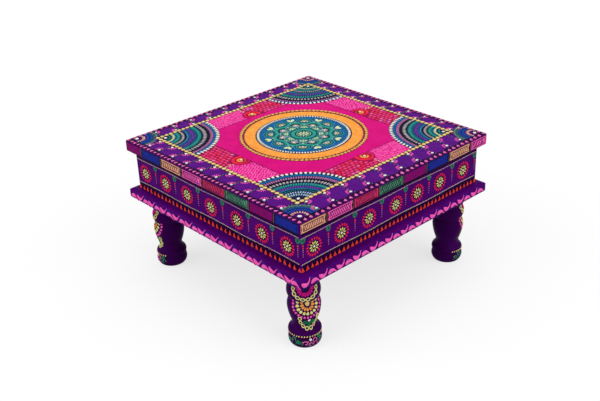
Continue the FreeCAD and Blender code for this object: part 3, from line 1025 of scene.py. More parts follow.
@dataclass
class TopPanel(Layout):
    """The panel inside the rope: field, strips, quarter fans, half fans and rope."""

    rope_pitch: float = 7.8
    brick_pitches: tuple[float, float] = (7.5, 6.2)
    touch_pitches: tuple[float, float] = (4.7, 3.9)
    half_fan_radius: float = 15.2
    red_radius: float = 11.6
    stem_shift: float = 2.2
    stem_half: float = 2.2
    stem_pitch: float = 3.4
    stem_dots: int = 5
    # The fans' radii as planned, and where the hand-painted ones lie in each of the four.
    plan_radii: tuple[float, ...] = (0.0, 33.3, 56.7, 75.2, 84.0, 94.0)
    true_radii: tuple[tuple[float, ...], ...] = (
        (0.0, 29.5, 49.2, 69.6, 83.0, 95.0), (0.0, 35.0, 57.6, 76.0, 86.0, 96.0),
        (0.0, 33.5, 58.0, 79.0, 86.5, 96.0), (0.0, 33.3, 56.7, 75.2, 84.0, 94.0))
    rings: tuple[FanRing, ...] = (
        FanRing("fan_mauve_dashes", Paint.MAUVE, 75.2, 5.2, 2.2, 32),
        FanRing("fan_beige_beads", Paint.BEIGE, 65.2, 5.6, 3.2, 19, 0.7),
        FanRing("fan_teal_dashes", Paint.TEAL, 56.7, 6.6, 2.6, 23),
        FanRing("fan_orchid_dashes", Paint.ORCHID, 47.3, 5.8, 2.5, 19),
    )
    inner_rings: tuple[FanRing, ...] = (
        FanRing("fan_sky_dashes", Paint.SKY, 40.0, 2.8, 1.6, 24),
        FanRing("fan_beige_beads", Paint.BEIGE, 33.3, 4.4, 2.1, 16),
        FanRing("fan_teal_dashes", Paint.TEAL, 26.4, 5.6, 2.3, 13),
        FanRing("fan_lime_dashes", Paint.PALE_LIME, 19.2, 4.4, 2.0, 10),
        FanRing("fan_teal_dashes", Paint.TEAL, 13.6, 2.4, 1.6, 7),
    )
    front_inner_rings: tuple[FanRing, ...] = (
        FanRing("fan_sky_dashes", Paint.SKY, 41.4, 2.0, 1.5, 22),
        FanRing("fan_deep_teal_dashes", Paint.DEEP_TEAL, 36.0, 4.0, 2.0, 17),
        FanRing("fan_silver_dashes", Paint.SILVER, 28.6, 5.6, 2.0, 12),
        FanRing("fan_silver_dashes", Paint.SILVER, 21.2, 6.6, 1.9, 9),
    )
    bands: tuple[FanRing, ...] = (
        FanRing("fan_blue_bands", Paint.BLUE, 79.9, 3.4, 0.0, 0, 0.3),
        FanRing("fan_black_bands", Paint.BLACK, 70.4, 3.6, 0.0, 0, 0.3),
        FanRing("fan_blue_bands", Paint.BLUE, 51.8, 1.6, 0.0, 0, 0.3),
        FanRing("fan_blue_bands", Paint.BLUE, 43.2, 1.8, 0.0, 0, 0.3),
        FanRing("fan_black_bands", Paint.BLACK, 37.2, 1.6, 0.0, 0, 0.3),
        FanRing("fan_blue_bands", Paint.BLUE, 22.6, 1.4, 0.0, 0, 0.3),
    )

    def lay(self) -> None:
        """Lays the panel."""
        self.grounds()
        for side in range(len(SIDES)):
            self.rope(side)
            self.strip(side)
            self.half_fan(side)
            self.quarter_fan(side)

    def grounds(self) -> None:
        """The rose ground of the strips and the magenta field."""
        for name, paint, height, edge in (("strip_ground", Paint.ROSE, 0.08, self.rope_inside),
                                          ("magenta_field", Paint.MAGENTA, 0.2, self.field_out)):
            front, right, back, left = (edge(side) for side in range(len(SIDES)))
            self.painter.band(name, paint, self.face(0), (-left, right), (back - front) / 2, front + back,
                              height)

    def rope(self, side: int) -> None:
        """A rope of yellow beads along one side, on a dark line."""
        painter, face, after = self.painter, self.face(side), (side + 1) % len(SIDES)
        start, end, out = -self.rope_out[side - 1], self.rope_out[after], self.rope_out[side]
        count = round((end - start) / self.rope_pitch)
        along = start + (end - start) * np.arange(count) / count
        pitch = (end - start) / count
        painter.band("rope_ground", Paint.BROWN, face, (start, end), -out, self.rope_width + 1.0, 0.4)
        bead = Dab(6.5, self.rope_width, 1.1, squareness=2.1, sides=14)
        painter.dabs("rope_beads", Paint.YELLOW, face, along, -out, math.radians(16), bead, 0.1)
        painter.dabs("rope_ties", Paint.BRONZE, face, along + pitch / 2, -out, math.radians(60),
                     Dab(3.8, 1.6, 0.75, sides=8), 0.1)

    def staggered(self, side: int, along: Array, outs: Array, shift: float,
                  half_fan: float) -> tuple[Array, Array]:
        """Places in staggered rows on a side's strip, as far as they lie clear of its fans.

        Args:
            side: The side's number.
            along: Places along a row.
            outs: The rows' distances from the middle.
            shift: How far the rows are moved, one to the right and the next to the left.
            half_fan: The radius of the half fan in the strip's middle.

        Returns:
            The places' u and v.
        """
        u, out = np.meshgrid(along, outs)
        u = u + shift * (-1.0) ** np.arange(len(outs))[:, None]
        kept = self.clear(u, -out, side, half_fan)
        return u[kept], -out[kept]

    def strip(self, side: int) -> None:
        """One strip: bricks in its first half, slanted touches in its second, and a dotted line."""
        painter, face = self.painter, self.face(side)
        inner, outer, middle = self.field_out(side), self.rope_inside(side), self.middle_shift[side]
        start, end = -self.field_out(side - 1), self.field_out(side + 1)
        painter.band("brick_ground", Paint.CRIMSON, face, (start, middle), -(inner + outer) / 2,
                     outer - inner, 0.14)
        along, across = self.brick_pitches
        u, v = self.staggered(side, np.arange(middle - 3.8, start, -along),
                              np.arange(inner + 3.6, outer - 2, across), 1.9, self.half_fan_radius + 2)
        chance = painter.random.random(len(u))
        brick = Dab(6.0, 4.6, 0.35, squareness=3.4, sides=12)
        for name, paint, low, high in (("brick_cells", Paint.BRICK, 0.0, 0.7),
                                       ("brick_red_cells", Paint.RED, 0.7, 0.87),
                                       ("brick_pink_cells", Paint.PETAL_PINK, 0.87, 1.0)):
            picked = (chance >= low) & (chance < high)
            painter.dabs(name, paint, face, u[picked], v[picked], 0.06, brick, 0.1, loose=0.3)
        along, across = self.touch_pitches
        u, v = self.staggered(side, np.arange(middle + 4, end, along),
                              np.arange(inner + 2.4, outer - 1.4, across), 1.5, self.half_fan_radius)
        painter.dabs("stipple", Paint.PALE_PINK, face, u, v, math.radians(-52),
                     Dab(4.4, 2.0, 0.35, sides=7), 0.08, loose=0.9)
        run = np.arange(start, end, 3.2)
        run = run[self.clear(run, np.full(len(run), -inner), side, 0)]
        painter.dabs("field_outline", Paint.MULBERRY, face, run, -inner, 0.5, Dab(2.6, 1.8, 0.3, sides=8),
                     0.2)

    def half_fan(self, side: int) -> None:
        """A red and orange fan in the middle of a strip, cut off by the field's edge, with a dotted stem."""
        painter, face, centre = self.painter, self.face(side), self.half_fan_centre(side)
        patch = CutDisc(self.half_fan_radius, self.half_fan_lift, 0.25, sides=36)
        painter.dabs("half_fan_ground", Paint.CRIMSON, face, *centre, DOWN, patch)
        turns = arc(34, DOWN, cut_span(self.red_radius, self.half_fan_lift))
        widths = np.interp(np.linspace(0, 1, len(turns)), (0, 0.5, 0.75, 1), (4.6, 4.6, 2.4, 1.6))
        painter.ring("half_fan_red", Paint.RED, face, centre, self.red_radius, turns, widths, 0.5, 0.2)
        heart = Dab(8.0, 8.0, 0.15, sides=20, flat=True)
        painter.dabs("half_fan_heart", Paint.BROWN, face, *centre, 0.0, heart, 0.2)
        painter.ring("half_fan_coral", Paint.CORAL, face, centre, 6.5, full_turn(28), 1.5, 0.45, 0.2)
        painter.ring("half_fan_orange", Paint.ORANGE, face, centre, 4.7, arc(20, DOWN - 0.7, 220), 2.6,
                     0.5, 0.2)
        painter.dabs("half_fan_beads", Paint.PEACH, face, *centre, 0.0, Dab(5.2, 4.8, 0.8), 0.4)
        # A cream dab on the peach bead's crown: painted highlight.
        painter.dabs("half_fan_painted_highlights", Paint.CREAM, face, *centre, 0.0, Dab(3.4, 3.2, 0.4), 1.1)
        steps = np.arange(self.stem_dots)
        stem = centre[1] - self.half_fan_radius - self.stem_half - self.stem_pitch * steps
        axis = centre[0] + self.stem_shift
        painter.band("half_fan_ground", Paint.CRIMSON, face, (axis - self.stem_half, axis + self.stem_half),
                     (stem[0] + stem[-1]) / 2, stem[0] - stem[-1] + self.stem_pitch, 0.25)
        painter.dabs("half_fan_beads", Paint.PEACH, face, axis + 0.6 * (-1.0) ** steps, stem, 0.5,
                     Dab(3.2, 2.4, 0.5, sides=8), 0.2)

    def quarter_fan(self, side: int) -> None:
        """A large quarter fan in the rope's corner at the right end of a side."""
        painter = self.painter
        centre = (self.rope_inside(side + 1), -self.rope_inside(side))
        face = FanFace(self.table.top_level, side, centre, self.fan_stretch[side])
        reach = self.fan_radii[side]
        painter.dabs("fan_ground", Paint.NAVY, face, *centre, QUARTER, Sector(reach, reach, 0.3, sides=40))
        painter.round("fan_rim_beads", Paint.CREAM, face, centre, reach - 3.0, fan(20, INWARDS, 88.5),
                      Dab(5.8, 3.8, 0.9, taper=0.15), slant=0.3, level=0.3)
        inner = self.inner_rings if side else self.front_inner_rings
        for ring in self.bands + self.rings + inner:
            plan = ring.radius + ring.length * np.array([-0.5, 0.0, 0.5])
            near, radius, far = np.interp(plan, self.plan_radii, self.true_radii[side])
            if not ring.count:
                painter.ring(ring.name, ring.paint, face, centre, radius, arc(44, INWARDS, 90), far - near,
                             ring.height, 0.3)
                continue
            dash = Dab(far - near, ring.width, ring.height, taper=0.15, sides=10)
            painter.round(ring.name, ring.paint, face, centre, radius, fan(ring.count, INWARDS, 89), dash,
                          level=0.3)
        painter.dabs("fan_rim_beads", Paint.CREAM, face, centre[0] - 5.2, centre[1] + 5.2, INWARDS,
                     Dab(5.2, 4.4, 0.9), 0.3)


@dataclass
class Medallion(Layout):
    """The round painting in the middle of the top."""

    centre: tuple[float, float] = (-8.7, 6.2)
    petals: int = 8
    wave: float = -3.2

    @property
    def between(self) -> float:
        """The direction half way from one petal to the next."""
        return math.pi / self.petals

    def arches(self, name: str, paint: Paint, base: float, phase: float, half_width: float, rise: float,
               width: float, span: float = 220.0) -> None:
        """Arched lines round the places of the flower's petals, bulging outwards.

        Args:
            name: The piece's name.
            paint: Its paint.
            base: The distance of each arch's middle from the centre.
            phase: The first one's direction.
            half_width: Half its width.
            rise: How far it bulges outwards.
            width: The line's width.
            span: How much of its oval is drawn, in degrees.
        """
        lines = ovals(self.centre, base, full_turn(self.petals, phase), arc(20, 0.0, span), rise, half_width)
        self.painter.strokes(name, paint, self.face(0), *lines, width, 0.4, 0.4)

    def ring(self, name: str, paint: Paint, radius: float, width: float, height: float, level: float,
             wave: float = 0.0, flat: bool = False) -> None:
        """A closed ring.

        Args:
            name: The piece's name.
            paint: Its paint.
            radius: Its middle radius.
            width: Its width.
            height: Its height.
            level: Height of the paint under it.
            wave: How far it bulges with each of the flower's petals.
            flat: Whether its top is flat.
        """
        turns = full_turn(160)
        self.painter.ring(name, paint, self.face(0), self.centre, radius + wave * np.cos(self.petals * turns),
                          turns, width, height, level, flat)

    def round(self, name: str, paint: Paint, radius: float, count: int, dab: Dab, phase: float = 0.0,
              slant: float = 0.0, level: float = 0.35) -> None:
        """Dabs all the way round.

        Args:
            name: The piece's name.
            paint: Its paint.
            radius: Their distance from the centre.
            count: How many.
            dab: Their form.
            phase: The first one's direction.
            slant: How far each is turned from its radius.
            level: Height of the paint under them.
        """
        self.painter.round(name, paint, self.face(0), self.centre, radius, full_turn(count, phase), dab,
                           slant, level)

    def clusters(self, name: str, paint: Paint, radius: float, phase: float, turns: Array, reach: float,
                 dab: Dab) -> None:
        """Petals of the small flowers that sit round the medallion, as many as it has petals.

        Args:
            name: The piece's name.
            paint: Its paint.
            radius: The small flowers' distance from the centre.
            phase: The first one's direction.
            turns: Each small petal's direction from its flower, counted from the radius.
            reach: Its distance from its flower's middle.
            dab: Its form.
        """
        for place in full_turn(self.petals, phase):
            middle = around(self.centre, radius, place)
            self.painter.round(name, paint, self.face(0), middle, reach, place + turns, dab, level=0.35)

    def lay(self) -> None:
        """Lays the medallion from its rope inwards."""
        self.ring("medallion_rope_ground", Paint.BROWN, 93.0, 6.0, 0.5, 0.1, flat=True)
        self.round("medallion_rope", Paint.HONEY, 93.4, 88, Dab(6.4, 4.7, 1.0), slant=QUARTER + 0.25,
                   level=0.3)
        self.ring("medallion_orange_ring", Paint.ORANGE, 80.4, 17.0, 0.45, 0.0, flat=True)
        self.round("medallion_dark_rope", Paint.BROWN, 88.6, 110, Dab(3.2, 1.5, 0.5, sides=8),
                   slant=QUARTER + 0.35, level=0.3)
        self.ring("medallion_dark_rim", Paint.NAVY, 68.6, 6.6, 0.5, 0.0, flat=True)
        for paint, width, height in ((Paint.BLUE, 131.4, 0.35), (Paint.DEEP_TEAL, 97.0, 0.43)):
            name = "medallion_disc_" + paint.name.lower()
            disc = Dab(width, width, height, sides=96, flat=True)
            self.painter.dabs(name, paint, self.face(0), *self.centre, 0.0, disc)
        self.round("medallion_beads", Paint.CREAM, 68.2, 104, Dab(4.6, 2.5, 0.8, sides=10), slant=0.3,
                   level=0.4)
        self.lobes()
        self.ring("medallion_teal_ring", Paint.TEAL, 42.0, 5.0, 0.5, 0.4, self.wave)
        for radius in (38.2, 45.8):
            self.ring("medallion_navy_lines", Paint.NAVY, radius, 1.1, 0.35, 0.4, self.wave)
        self.heart()

    def lobes(self) -> None:
        """The flower's outer petals, with arched outlines and beads, and leaf pairs between them."""
        between, lobe = self.between, Dab(22.0, 25.0, 0.1, sides=20, flat=True)
        self.round("medallion_lobes", Paint.DEEP_TEAL, 49.0, self.petals, lobe)
        for name, paint, half_width, rise, width in (("medallion_arches", Paint.SKY, 12.4, 13.0, 1.2),
                                                     ("medallion_navy_lines", Paint.NAVY, 10.9, 11.4, 1.3),
                                                     ("medallion_teal_arches", Paint.TEAL, 9.2, 9.6, 1.7),
                                                     ("medallion_navy_lines", Paint.NAVY, 7.4, 7.7, 1.2)):
            self.arches(name, paint, 46.6, 0.0, half_width, rise, width)
        bead = Dab(3.5, 1.9, 0.5, sides=10)
        self.clusters("medallion_peach_petals", Paint.PEACH, 47.2, 0.0, fan(6, 0.0, 216), 4.6, bead)
        self.round("medallion_cream_dots", Paint.CREAM, 47.6, self.petals, Dab(3.2, 3.2, 0.6))
        self.clusters("medallion_lime_seeds", Paint.PALE_LIME, 44.6, between, np.array([-0.9, 0.9]), 4.6,
                      Dab(3.4, 1.6, 0.5, sides=8))
        leaf = Dab(8.8, 5.2, 0.7, taper=0.25)
        self.arches("medallion_navy_lines", Paint.NAVY, 55.0, between, 6.9, 5.2, 1.0, 260.0)
        self.clusters("medallion_lime_petals", Paint.PALE_LIME, 51.2, between, np.array([-0.55, 0.55]), 5.2,
                      leaf)
        self.round("medallion_cream_dots", Paint.CREAM, 52.2, self.petals, Dab(4.2, 2.6, 0.6), between)
        self.clusters("medallion_teal_petals", Paint.TEAL, 50.4, between, np.array([-1.5, 1.5]), 5.6,
                      Dab(4.2, 2.0, 0.5, sides=8))

    def heart(self) -> None:
        """The small flowers inside the teal ring, and the flower in the middle."""
        between = self.between
        for name, paint, base, phase, half_width, rise, width in (
                ("medallion_navy_lines", Paint.NAVY, 34.0, between, 6.4, 5.0, 1.3),
                ("medallion_silver_arches", Paint.SILVER, 24.6, 0.0, 9.4, 10.8, 0.8),
                ("medallion_navy_lines", Paint.NAVY, 24.6, 0.0, 8.2, 9.4, 1.2),
                ("medallion_teal_arches", Paint.TEAL, 24.6, 0.0, 6.8, 8.0, 1.2)):
            self.arches(name, paint, base, phase, half_width, rise, width)
        petal = Dab(3.2, 1.9, 0.5, sides=10)
        self.clusters("medallion_peach_petals", Paint.PEACH, 34.0, between, full_turn(6), 3.2, petal)
        self.round("medallion_cream_dots", Paint.CREAM, 34.0, self.petals, Dab(3.2, 3.2, 0.7), between)
        self.clusters("medallion_lime_petals", Paint.PALE_LIME, 24.2, 0.0, fan(5, 0.0, 220), 3.9,
                      Dab(4.2, 1.9, 0.55, taper=0.4, sides=10))
        self.round("medallion_lime_seeds", Paint.PALE_LIME, 10.2, 16, Dab(1.9, 1.4, 0.5, sides=8), level=0.45)
        self.round("medallion_cream_dots", Paint.CREAM, 23.8, self.petals, Dab(2.6, 2.6, 0.6))
        self.round("medallion_sky_dabs", Paint.SKY, 28.0, self.petals, Dab(3.4, 1.8, 0.5, sides=8), between)
        self.round("medallion_navy_dots", Paint.NAVY, 29.4, 2 * self.petals, Dab(2.6, 1.6, 0.4, sides=8),
                   between / 2)
        self.round("medallion_lime_petals", Paint.PALE_LIME, 34.6, self.petals, Dab(2.0, 4.4, 0.5, sides=8))
        self.ring("medallion_teal_ring", Paint.TEAL, 16.2, 5.4, 0.55, 0.4)
        for radius, width, height in ((12.2, 1.7, 0.45), (19.6, 1.1, 0.45), (9.0, 0.9, 0.35)):
            self.ring("medallion_navy_lines", Paint.NAVY, radius, width, height, 0.4)
        self.round("medallion_lime_petals", Paint.PALE_LIME, 5.6, self.petals,
                   Dab(5.4, 2.5, 0.6, taper=0.4, sides=10))
        self.round("medallion_peach_petals", Paint.PEACH, 2.4, 4, Dab(1.8, 1.5, 0.7, sides=8))
        self.round("medallion_cream_dots", Paint.CREAM, 0.0, 1, Dab(2.4, 2.4, 0.9))


@dataclass(frozen=True)
class EdgeBlock:
    """One rectangle of the slab's edge: its paint, and the thin lines in it."""

    ground: Paint
    lines: Paint = Paint.MULBERRY
    frames: tuple[float, ...] = ()
    levels: tuple[float, ...] = ()
    slant_pitch: float = 0.0


@dataclass
class SlabEdge(Ornament):
    """The top board's edges: coloured rectangles with dark outlines, the lowest of them partly painted shade,
    and fine lines inside.
    """

    count: int = 8
    reach: float = 7.5
    gap: float = 3.8
    corner_gap: float = 2.6
    shifts: tuple[float, ...] = (-2.8, 3.0)
    pitch: float = 48.6
    line_width: float = 1.4
    blocks: tuple[EdgeBlock, ...] = (
        EdgeBlock(Paint.PLUM, levels=(-3.6, 0.0, 3.6)),
        EdgeBlock(Paint.ROYAL_BLUE, Paint.NAVY, frames=(0.9,)),
        EdgeBlock(Paint.TAN, frames=(0.4, 3.4), slant_pitch=4.2),
        EdgeBlock(Paint.PINK, frames=(0.4, 3.2), slant_pitch=3.6),
        EdgeBlock(Paint.BRICK_RED, frames=(2.6,), slant_pitch=3.6),
        EdgeBlock(Paint.SAGE, Paint.BLACK, frames=(2.4,), slant_pitch=3.4))

    def lay(self) -> None:
        """Lays the rectangles of all four edges, whose colours run on round the corners."""
        table, rounding = self.table, self.table.edge_round
        end = table.top_half - self.corner_gap
        for side in range(len(SIDES)):
            face = NoseFace(table.top_half, table.slab_low + rounding, table.top_level - rounding, rounding,
                            rounding, side)
            seams = self.shifts[side % 2] + (np.arange(1, self.count) - self.count / 2) * self.pitch
            starts = np.concatenate([[-end], seams + self.gap / 2])
            ends = np.concatenate([seams - self.gap / 2, [end]])
            for number, (start, stop) in enumerate(zip(starts, ends)):
                block = self.blocks[(side * self.count + number) % len(self.blocks)]
                name = "edge_blocks_" + block.ground.name.lower()
                self.painter.band(name, block.ground, face, (start, stop), 0.0, 2 * self.reach, 0.15)
                self.hatch(face, block, start, stop, number)
            rise = np.linspace(-self.reach, self.reach, 9)[None]
            lean = 0.4 * np.linspace(-1, 1, 9)[None]
            for name, paint, width, height in (("edge_outlines_and_shade", Paint.BLACK, self.gap + 1.0, 0.3),
                                               ("edge_bronze_lines", Paint.BRONZE, 1.0, 0.5)):
                self.painter.strokes(name, paint, face, seams[:, None] + lean, rise, width, height)
            # The dark line along the blocks' foot is partly painted shade under the edge; the one along their
            # top is a painted outline.
            for level in (-self.reach, self.reach):
                self.painter.band("edge_outlines_and_shade", Paint.BLACK, face, (-end, end), 0.93 * level, 1.3, 0.3)

    def hatch(self, face: NoseFace, block: EdgeBlock, start: float, end: float, number: int) -> None:
        """Thin lines inside one rectangle: frames, level lines and slanted strokes.

        Args:
            face: The edge's face.
            block: The rectangle's paints and lines.
            start: Where the rectangle starts along the edge.
            end: Where it ends.
            number: Its number on the edge, which sets the strokes' slant.
        """
        name, middle = "edge_lines_" + block.lines.name.lower(), (start + end) / 2
        for inset in block.frames:
            wide, tall = (end - start) / 2 - inset - 0.6, self.reach - inset
            u = middle + wide * np.array([-1, 0, 1, 1, 1, 0, -1, -1])
            v = tall * np.array([-1, -1, -1, 0, 1, 1, 1, 0])
            self.painter.strokes(name, block.lines, face, u, v, self.line_width, 0.2, 0.15, closed=True)
        for level in block.levels:
            run = np.linspace(start + 2, end - 2, 12)
            self.painter.strokes(name, block.lines, face, run, level + self.painter.sway(12, 0.3),
                                 0.7 * self.line_width, 0.2, 0.15)
        if block.slant_pitch:
            deepest = max(block.frames)
            along = np.arange(start + deepest + 3, end - deepest - 3, block.slant_pitch)
            along = along + self.painter.sway(len(along), 0.3)
            tall = self.reach - deepest - 1.0
            lean = 0.5 * tall * np.array([[-1, 1]]) * (-1) ** number
            self.painter.strokes(name, block.lines, face, along[:, None] + lean, tall * np.array([[-1, 1]]),
                                 self.line_width, 0.18, 0.15)


@dataclass
class ApronOrnament(Ornament):
    """The apron's faces: gold lines, rosettes, pendants, dark bands and red triangles."""

    rosettes: tuple[tuple[float, ...], ...] = ((-158.6, -108.2, -56.1, -1.8, 54.9, 106.2, 155.0),
                                               (-156.8, -106.8, -54.3, -0.6, 45.0, 94.8, 147.8))
    pendants: tuple[tuple[float, ...], ...] = ((-132.0, -84.0, -29.5, 25.0, 79.0, 127.0, 175.0),
                                               (-176.0, -131.0, -81.5, -29.0, 20.0, 70.0, 122.0, 175.0))
    triangle_counts: tuple[int, ...] = (39, 44)
    upper_depth: float = 28.3
    lower_depth: float = 66.4
    rosette_depth: float = 48.6
    band_depth: float = 72.6
    band_width: float = 11.4
    shade_depth: float = 22.4
    shade_width: float = 8.0
    triangle_top: float = 70.6

    def lay(self) -> None:
        """Lays the ornament of all four aprons; facing ones are alike."""
        for side in range(len(SIDES)):
            face = SideFace(self.table.apron_half, side)
            self.lines(face)
            for place in self.rosettes[side % 2]:
                self.rosette(face, place)
            for place in self.pendants[side % 2]:
                self.pendant(face, place)
            self.triangles(face, self.triangle_counts[side % 2])

    def lines(self, face: SideFace) -> None:
        """The two wavy gold lines, a dark band of painted shade under the top board, and a dark band under
        the lower line.
        """
        end = self.table.apron_half - 2.0
        run = np.arange(-end, end, 3.3)
        for depth, phase in ((self.upper_depth, 0.0), (self.lower_depth, 1.3)):
            wave = 0.6 * np.sin(run / 21 + phase)
            self.painter.dabs("apron_gold_lines", Paint.GOLD, face, run, self.table.top_level - depth + wave,
                              0.22, Dab(3.6, 1.0, 0.5, sides=8), 0.1)
        # The shade band is painted shade: a dark strip where the top board's overhang shades the apron.
        for name, depth, width in (("apron_dark_band", self.band_depth, self.band_width),
                                   ("apron_shade_band", self.shade_depth, self.shade_width)):
            self.painter.band(name, Paint.DARK_PURPLE, face, (-end, end), self.table.top_level - depth, width,
                              0.1)

    def rosette(self, face: SideFace, place: float) -> None:
        """A flower of red petals round yellow-green ones."""
        centre = (place, self.table.top_level - self.rosette_depth + float(self.painter.sway(1, 0.8)[0]))
        self.painter.round("rosette_red_petals", Paint.RED, face, centre, 11.7, full_turn(17),
                           Dab(4.6, 2.8, 0.6, taper=0.2, sides=10))
        self.painter.round("rosette_grounds", Paint.BLACK, face, centre, 0.0, np.zeros(1),
                           Dab(17.6, 17.6, 0.15, sides=20))
        self.painter.round("rosette_lime_petals", Paint.LIME, face, centre, 5.5, full_turn(10),
                           Dab(5.2, 2.2, 0.6, taper=0.4, sides=10))
        self.painter.dabs("rosette_hearts", Paint.CREAM, face, *centre, 0.0, Dab(3.6, 3.6, 0.8))

    def pendant(self, face: SideFace, place: float) -> None:
        """A green heart that hangs from the gold line, with a tail of shrinking dots."""
        painter, top = self.painter, self.table.top_level - self.upper_depth
        painter.dabs("pendant_leaves", Paint.JADE, face, place + np.array([-1.6, 1.6]), top - 4.8,
                     QUARTER + np.array([0.3, -0.3]), Dab(8.2, 4.8, 0.5, taper=0.25))
        painter.dabs("pendant_hearts", Paint.NAVY, face, place, top - 4.4, 0.0, Dab(2.2, 3.0, 0.3), 0.4)
        painter.dabs("pendant_coral_drops", Paint.CORAL, face, place, top - np.array([11.8, 15.0]), 0.0,
                     Dab(2.7, 2.5, 0.6), size=np.array([1.0, 0.85]))
        drops = np.arange(4)
        painter.dabs("pendant_pink_drops", Paint.MAUVE, face, place, top - 18.2 - 3.1 * drops, QUARTER,
                     Dab(2.2, 1.8, 0.5, sides=8), size=1 - 0.1 * drops)

    def triangles(self, face: SideFace, count: int) -> None:
        """Upright red triangles along the apron's foot."""
        foot, top = self.table.rail_high + 0.2, self.table.top_level - self.triangle_top
        along = (np.arange(count) + 0.5 - count / 2) * (2 * self.table.apron_half + 3) / count
        flame = Dab(top - foot, 3.9, 0.6, squareness=2.2, taper=-0.95, sides=14)
        self.painter.dabs("apron_triangles", Paint.CORAL, face, along, (foot + top) / 2, QUARTER, flame, 0.1,
                          loose=0.3)
        self.painter.dabs("apron_triangle_feet", Paint.CORAL, face, along, foot + 1.3, 0.0,
                          Dab(5.6, 2.6, 0.5, squareness=2.6, sides=12), 0.1, loose=0.3)


@dataclass
class RailOrnament(Ornament):
    """The rails' noses: pairs of pink leaves with blue strokes between them."""

    starts: tuple[float, ...] = (-163.0, -184.0)
    pitches: tuple[float, ...] = (30.2, 31.4)
    pairs: int = 12
    half_pair: float = 15.4
    plumpness: float = 1.14
    leaf_reach: float = 11.2
    corner_clear: float = 12.0
    upper_round: float = 7.0
    lower_round: float = 4.0

    def lay(self) -> None:
        """Lays the leaves of all four rails; facing ones are alike."""
        table = self.table
        for side in range(len(SIDES)):
            face = NoseFace(table.rail_half, table.rail_low + self.lower_round,
                            table.rail_high - self.upper_round, self.upper_round, self.lower_round, side)
            places = self.starts[side % 2] + self.pitches[side % 2] * np.arange(self.pairs)
            if places[0] - self.half_pair > self.corner_clear - table.rail_half:
                self.arch(face, places[0] - self.half_pair)
            for place in places + self.painter.sway(self.pairs, 0.8):
                self.comma(face, place)
                self.arch(face, place + self.half_pair)
                self.strokes(face, place + 8.0)

    def comma(self, face: NoseFace, place: float) -> None:
        """A leaf whose tail curls up at its right."""
        steps = np.linspace(0, 1, 18)
        u = place - 8.2 + 16.8 * steps - 1.2 * steps ** 4
        v = 4.4 - 5.6 * np.sin(math.pi * np.clip(1.02 * steps, 0, 1)) + 2.6 * steps ** 2
        width = 0.8 + 6.2 * np.sin(math.pi * steps ** 0.72) ** 1.3 * (1 - 0.78 * steps)
        self.painter.strokes("rail_comma_leaves", Paint.PINK, face, u, v, self.plumpness * width, 0.75)

    def arch(self, face: NoseFace, place: float) -> None:
        """A leaf that arches over, with its tail down at its right."""
        steps = np.linspace(0, 1, 18)
        u = min(place, self.table.rail_half - self.leaf_reach) - 7.4 + 16.6 * steps
        v = -3.4 + 4.6 * np.sin(math.pi * (0.1 + 0.86 * steps)) - 3.0 * steps ** 3
        width = 0.7 + 6.4 * np.sin(math.pi * steps ** 0.7) ** 1.2 * (1 - 0.78 * steps)
        self.painter.strokes("rail_arched_leaves", Paint.PINK, face, u, v, self.plumpness * width, 0.75)

    def strokes(self, face: NoseFace, place: float) -> None:
        """Two thin blue strokes over and under a leaf's tail."""
        steps = np.linspace(0, 1, 8)
        width = 0.5 + 1.3 * np.sin(math.pi * steps)
        for start, level, fall in ((0.0, 6.6, -3.6), (-9.0, -3.4, -1.4)):
            self.painter.strokes("rail_blue_strokes", Paint.ROYAL_BLUE, face, place + start + 8 * steps,
                                 level + fall * steps, width, 0.25)


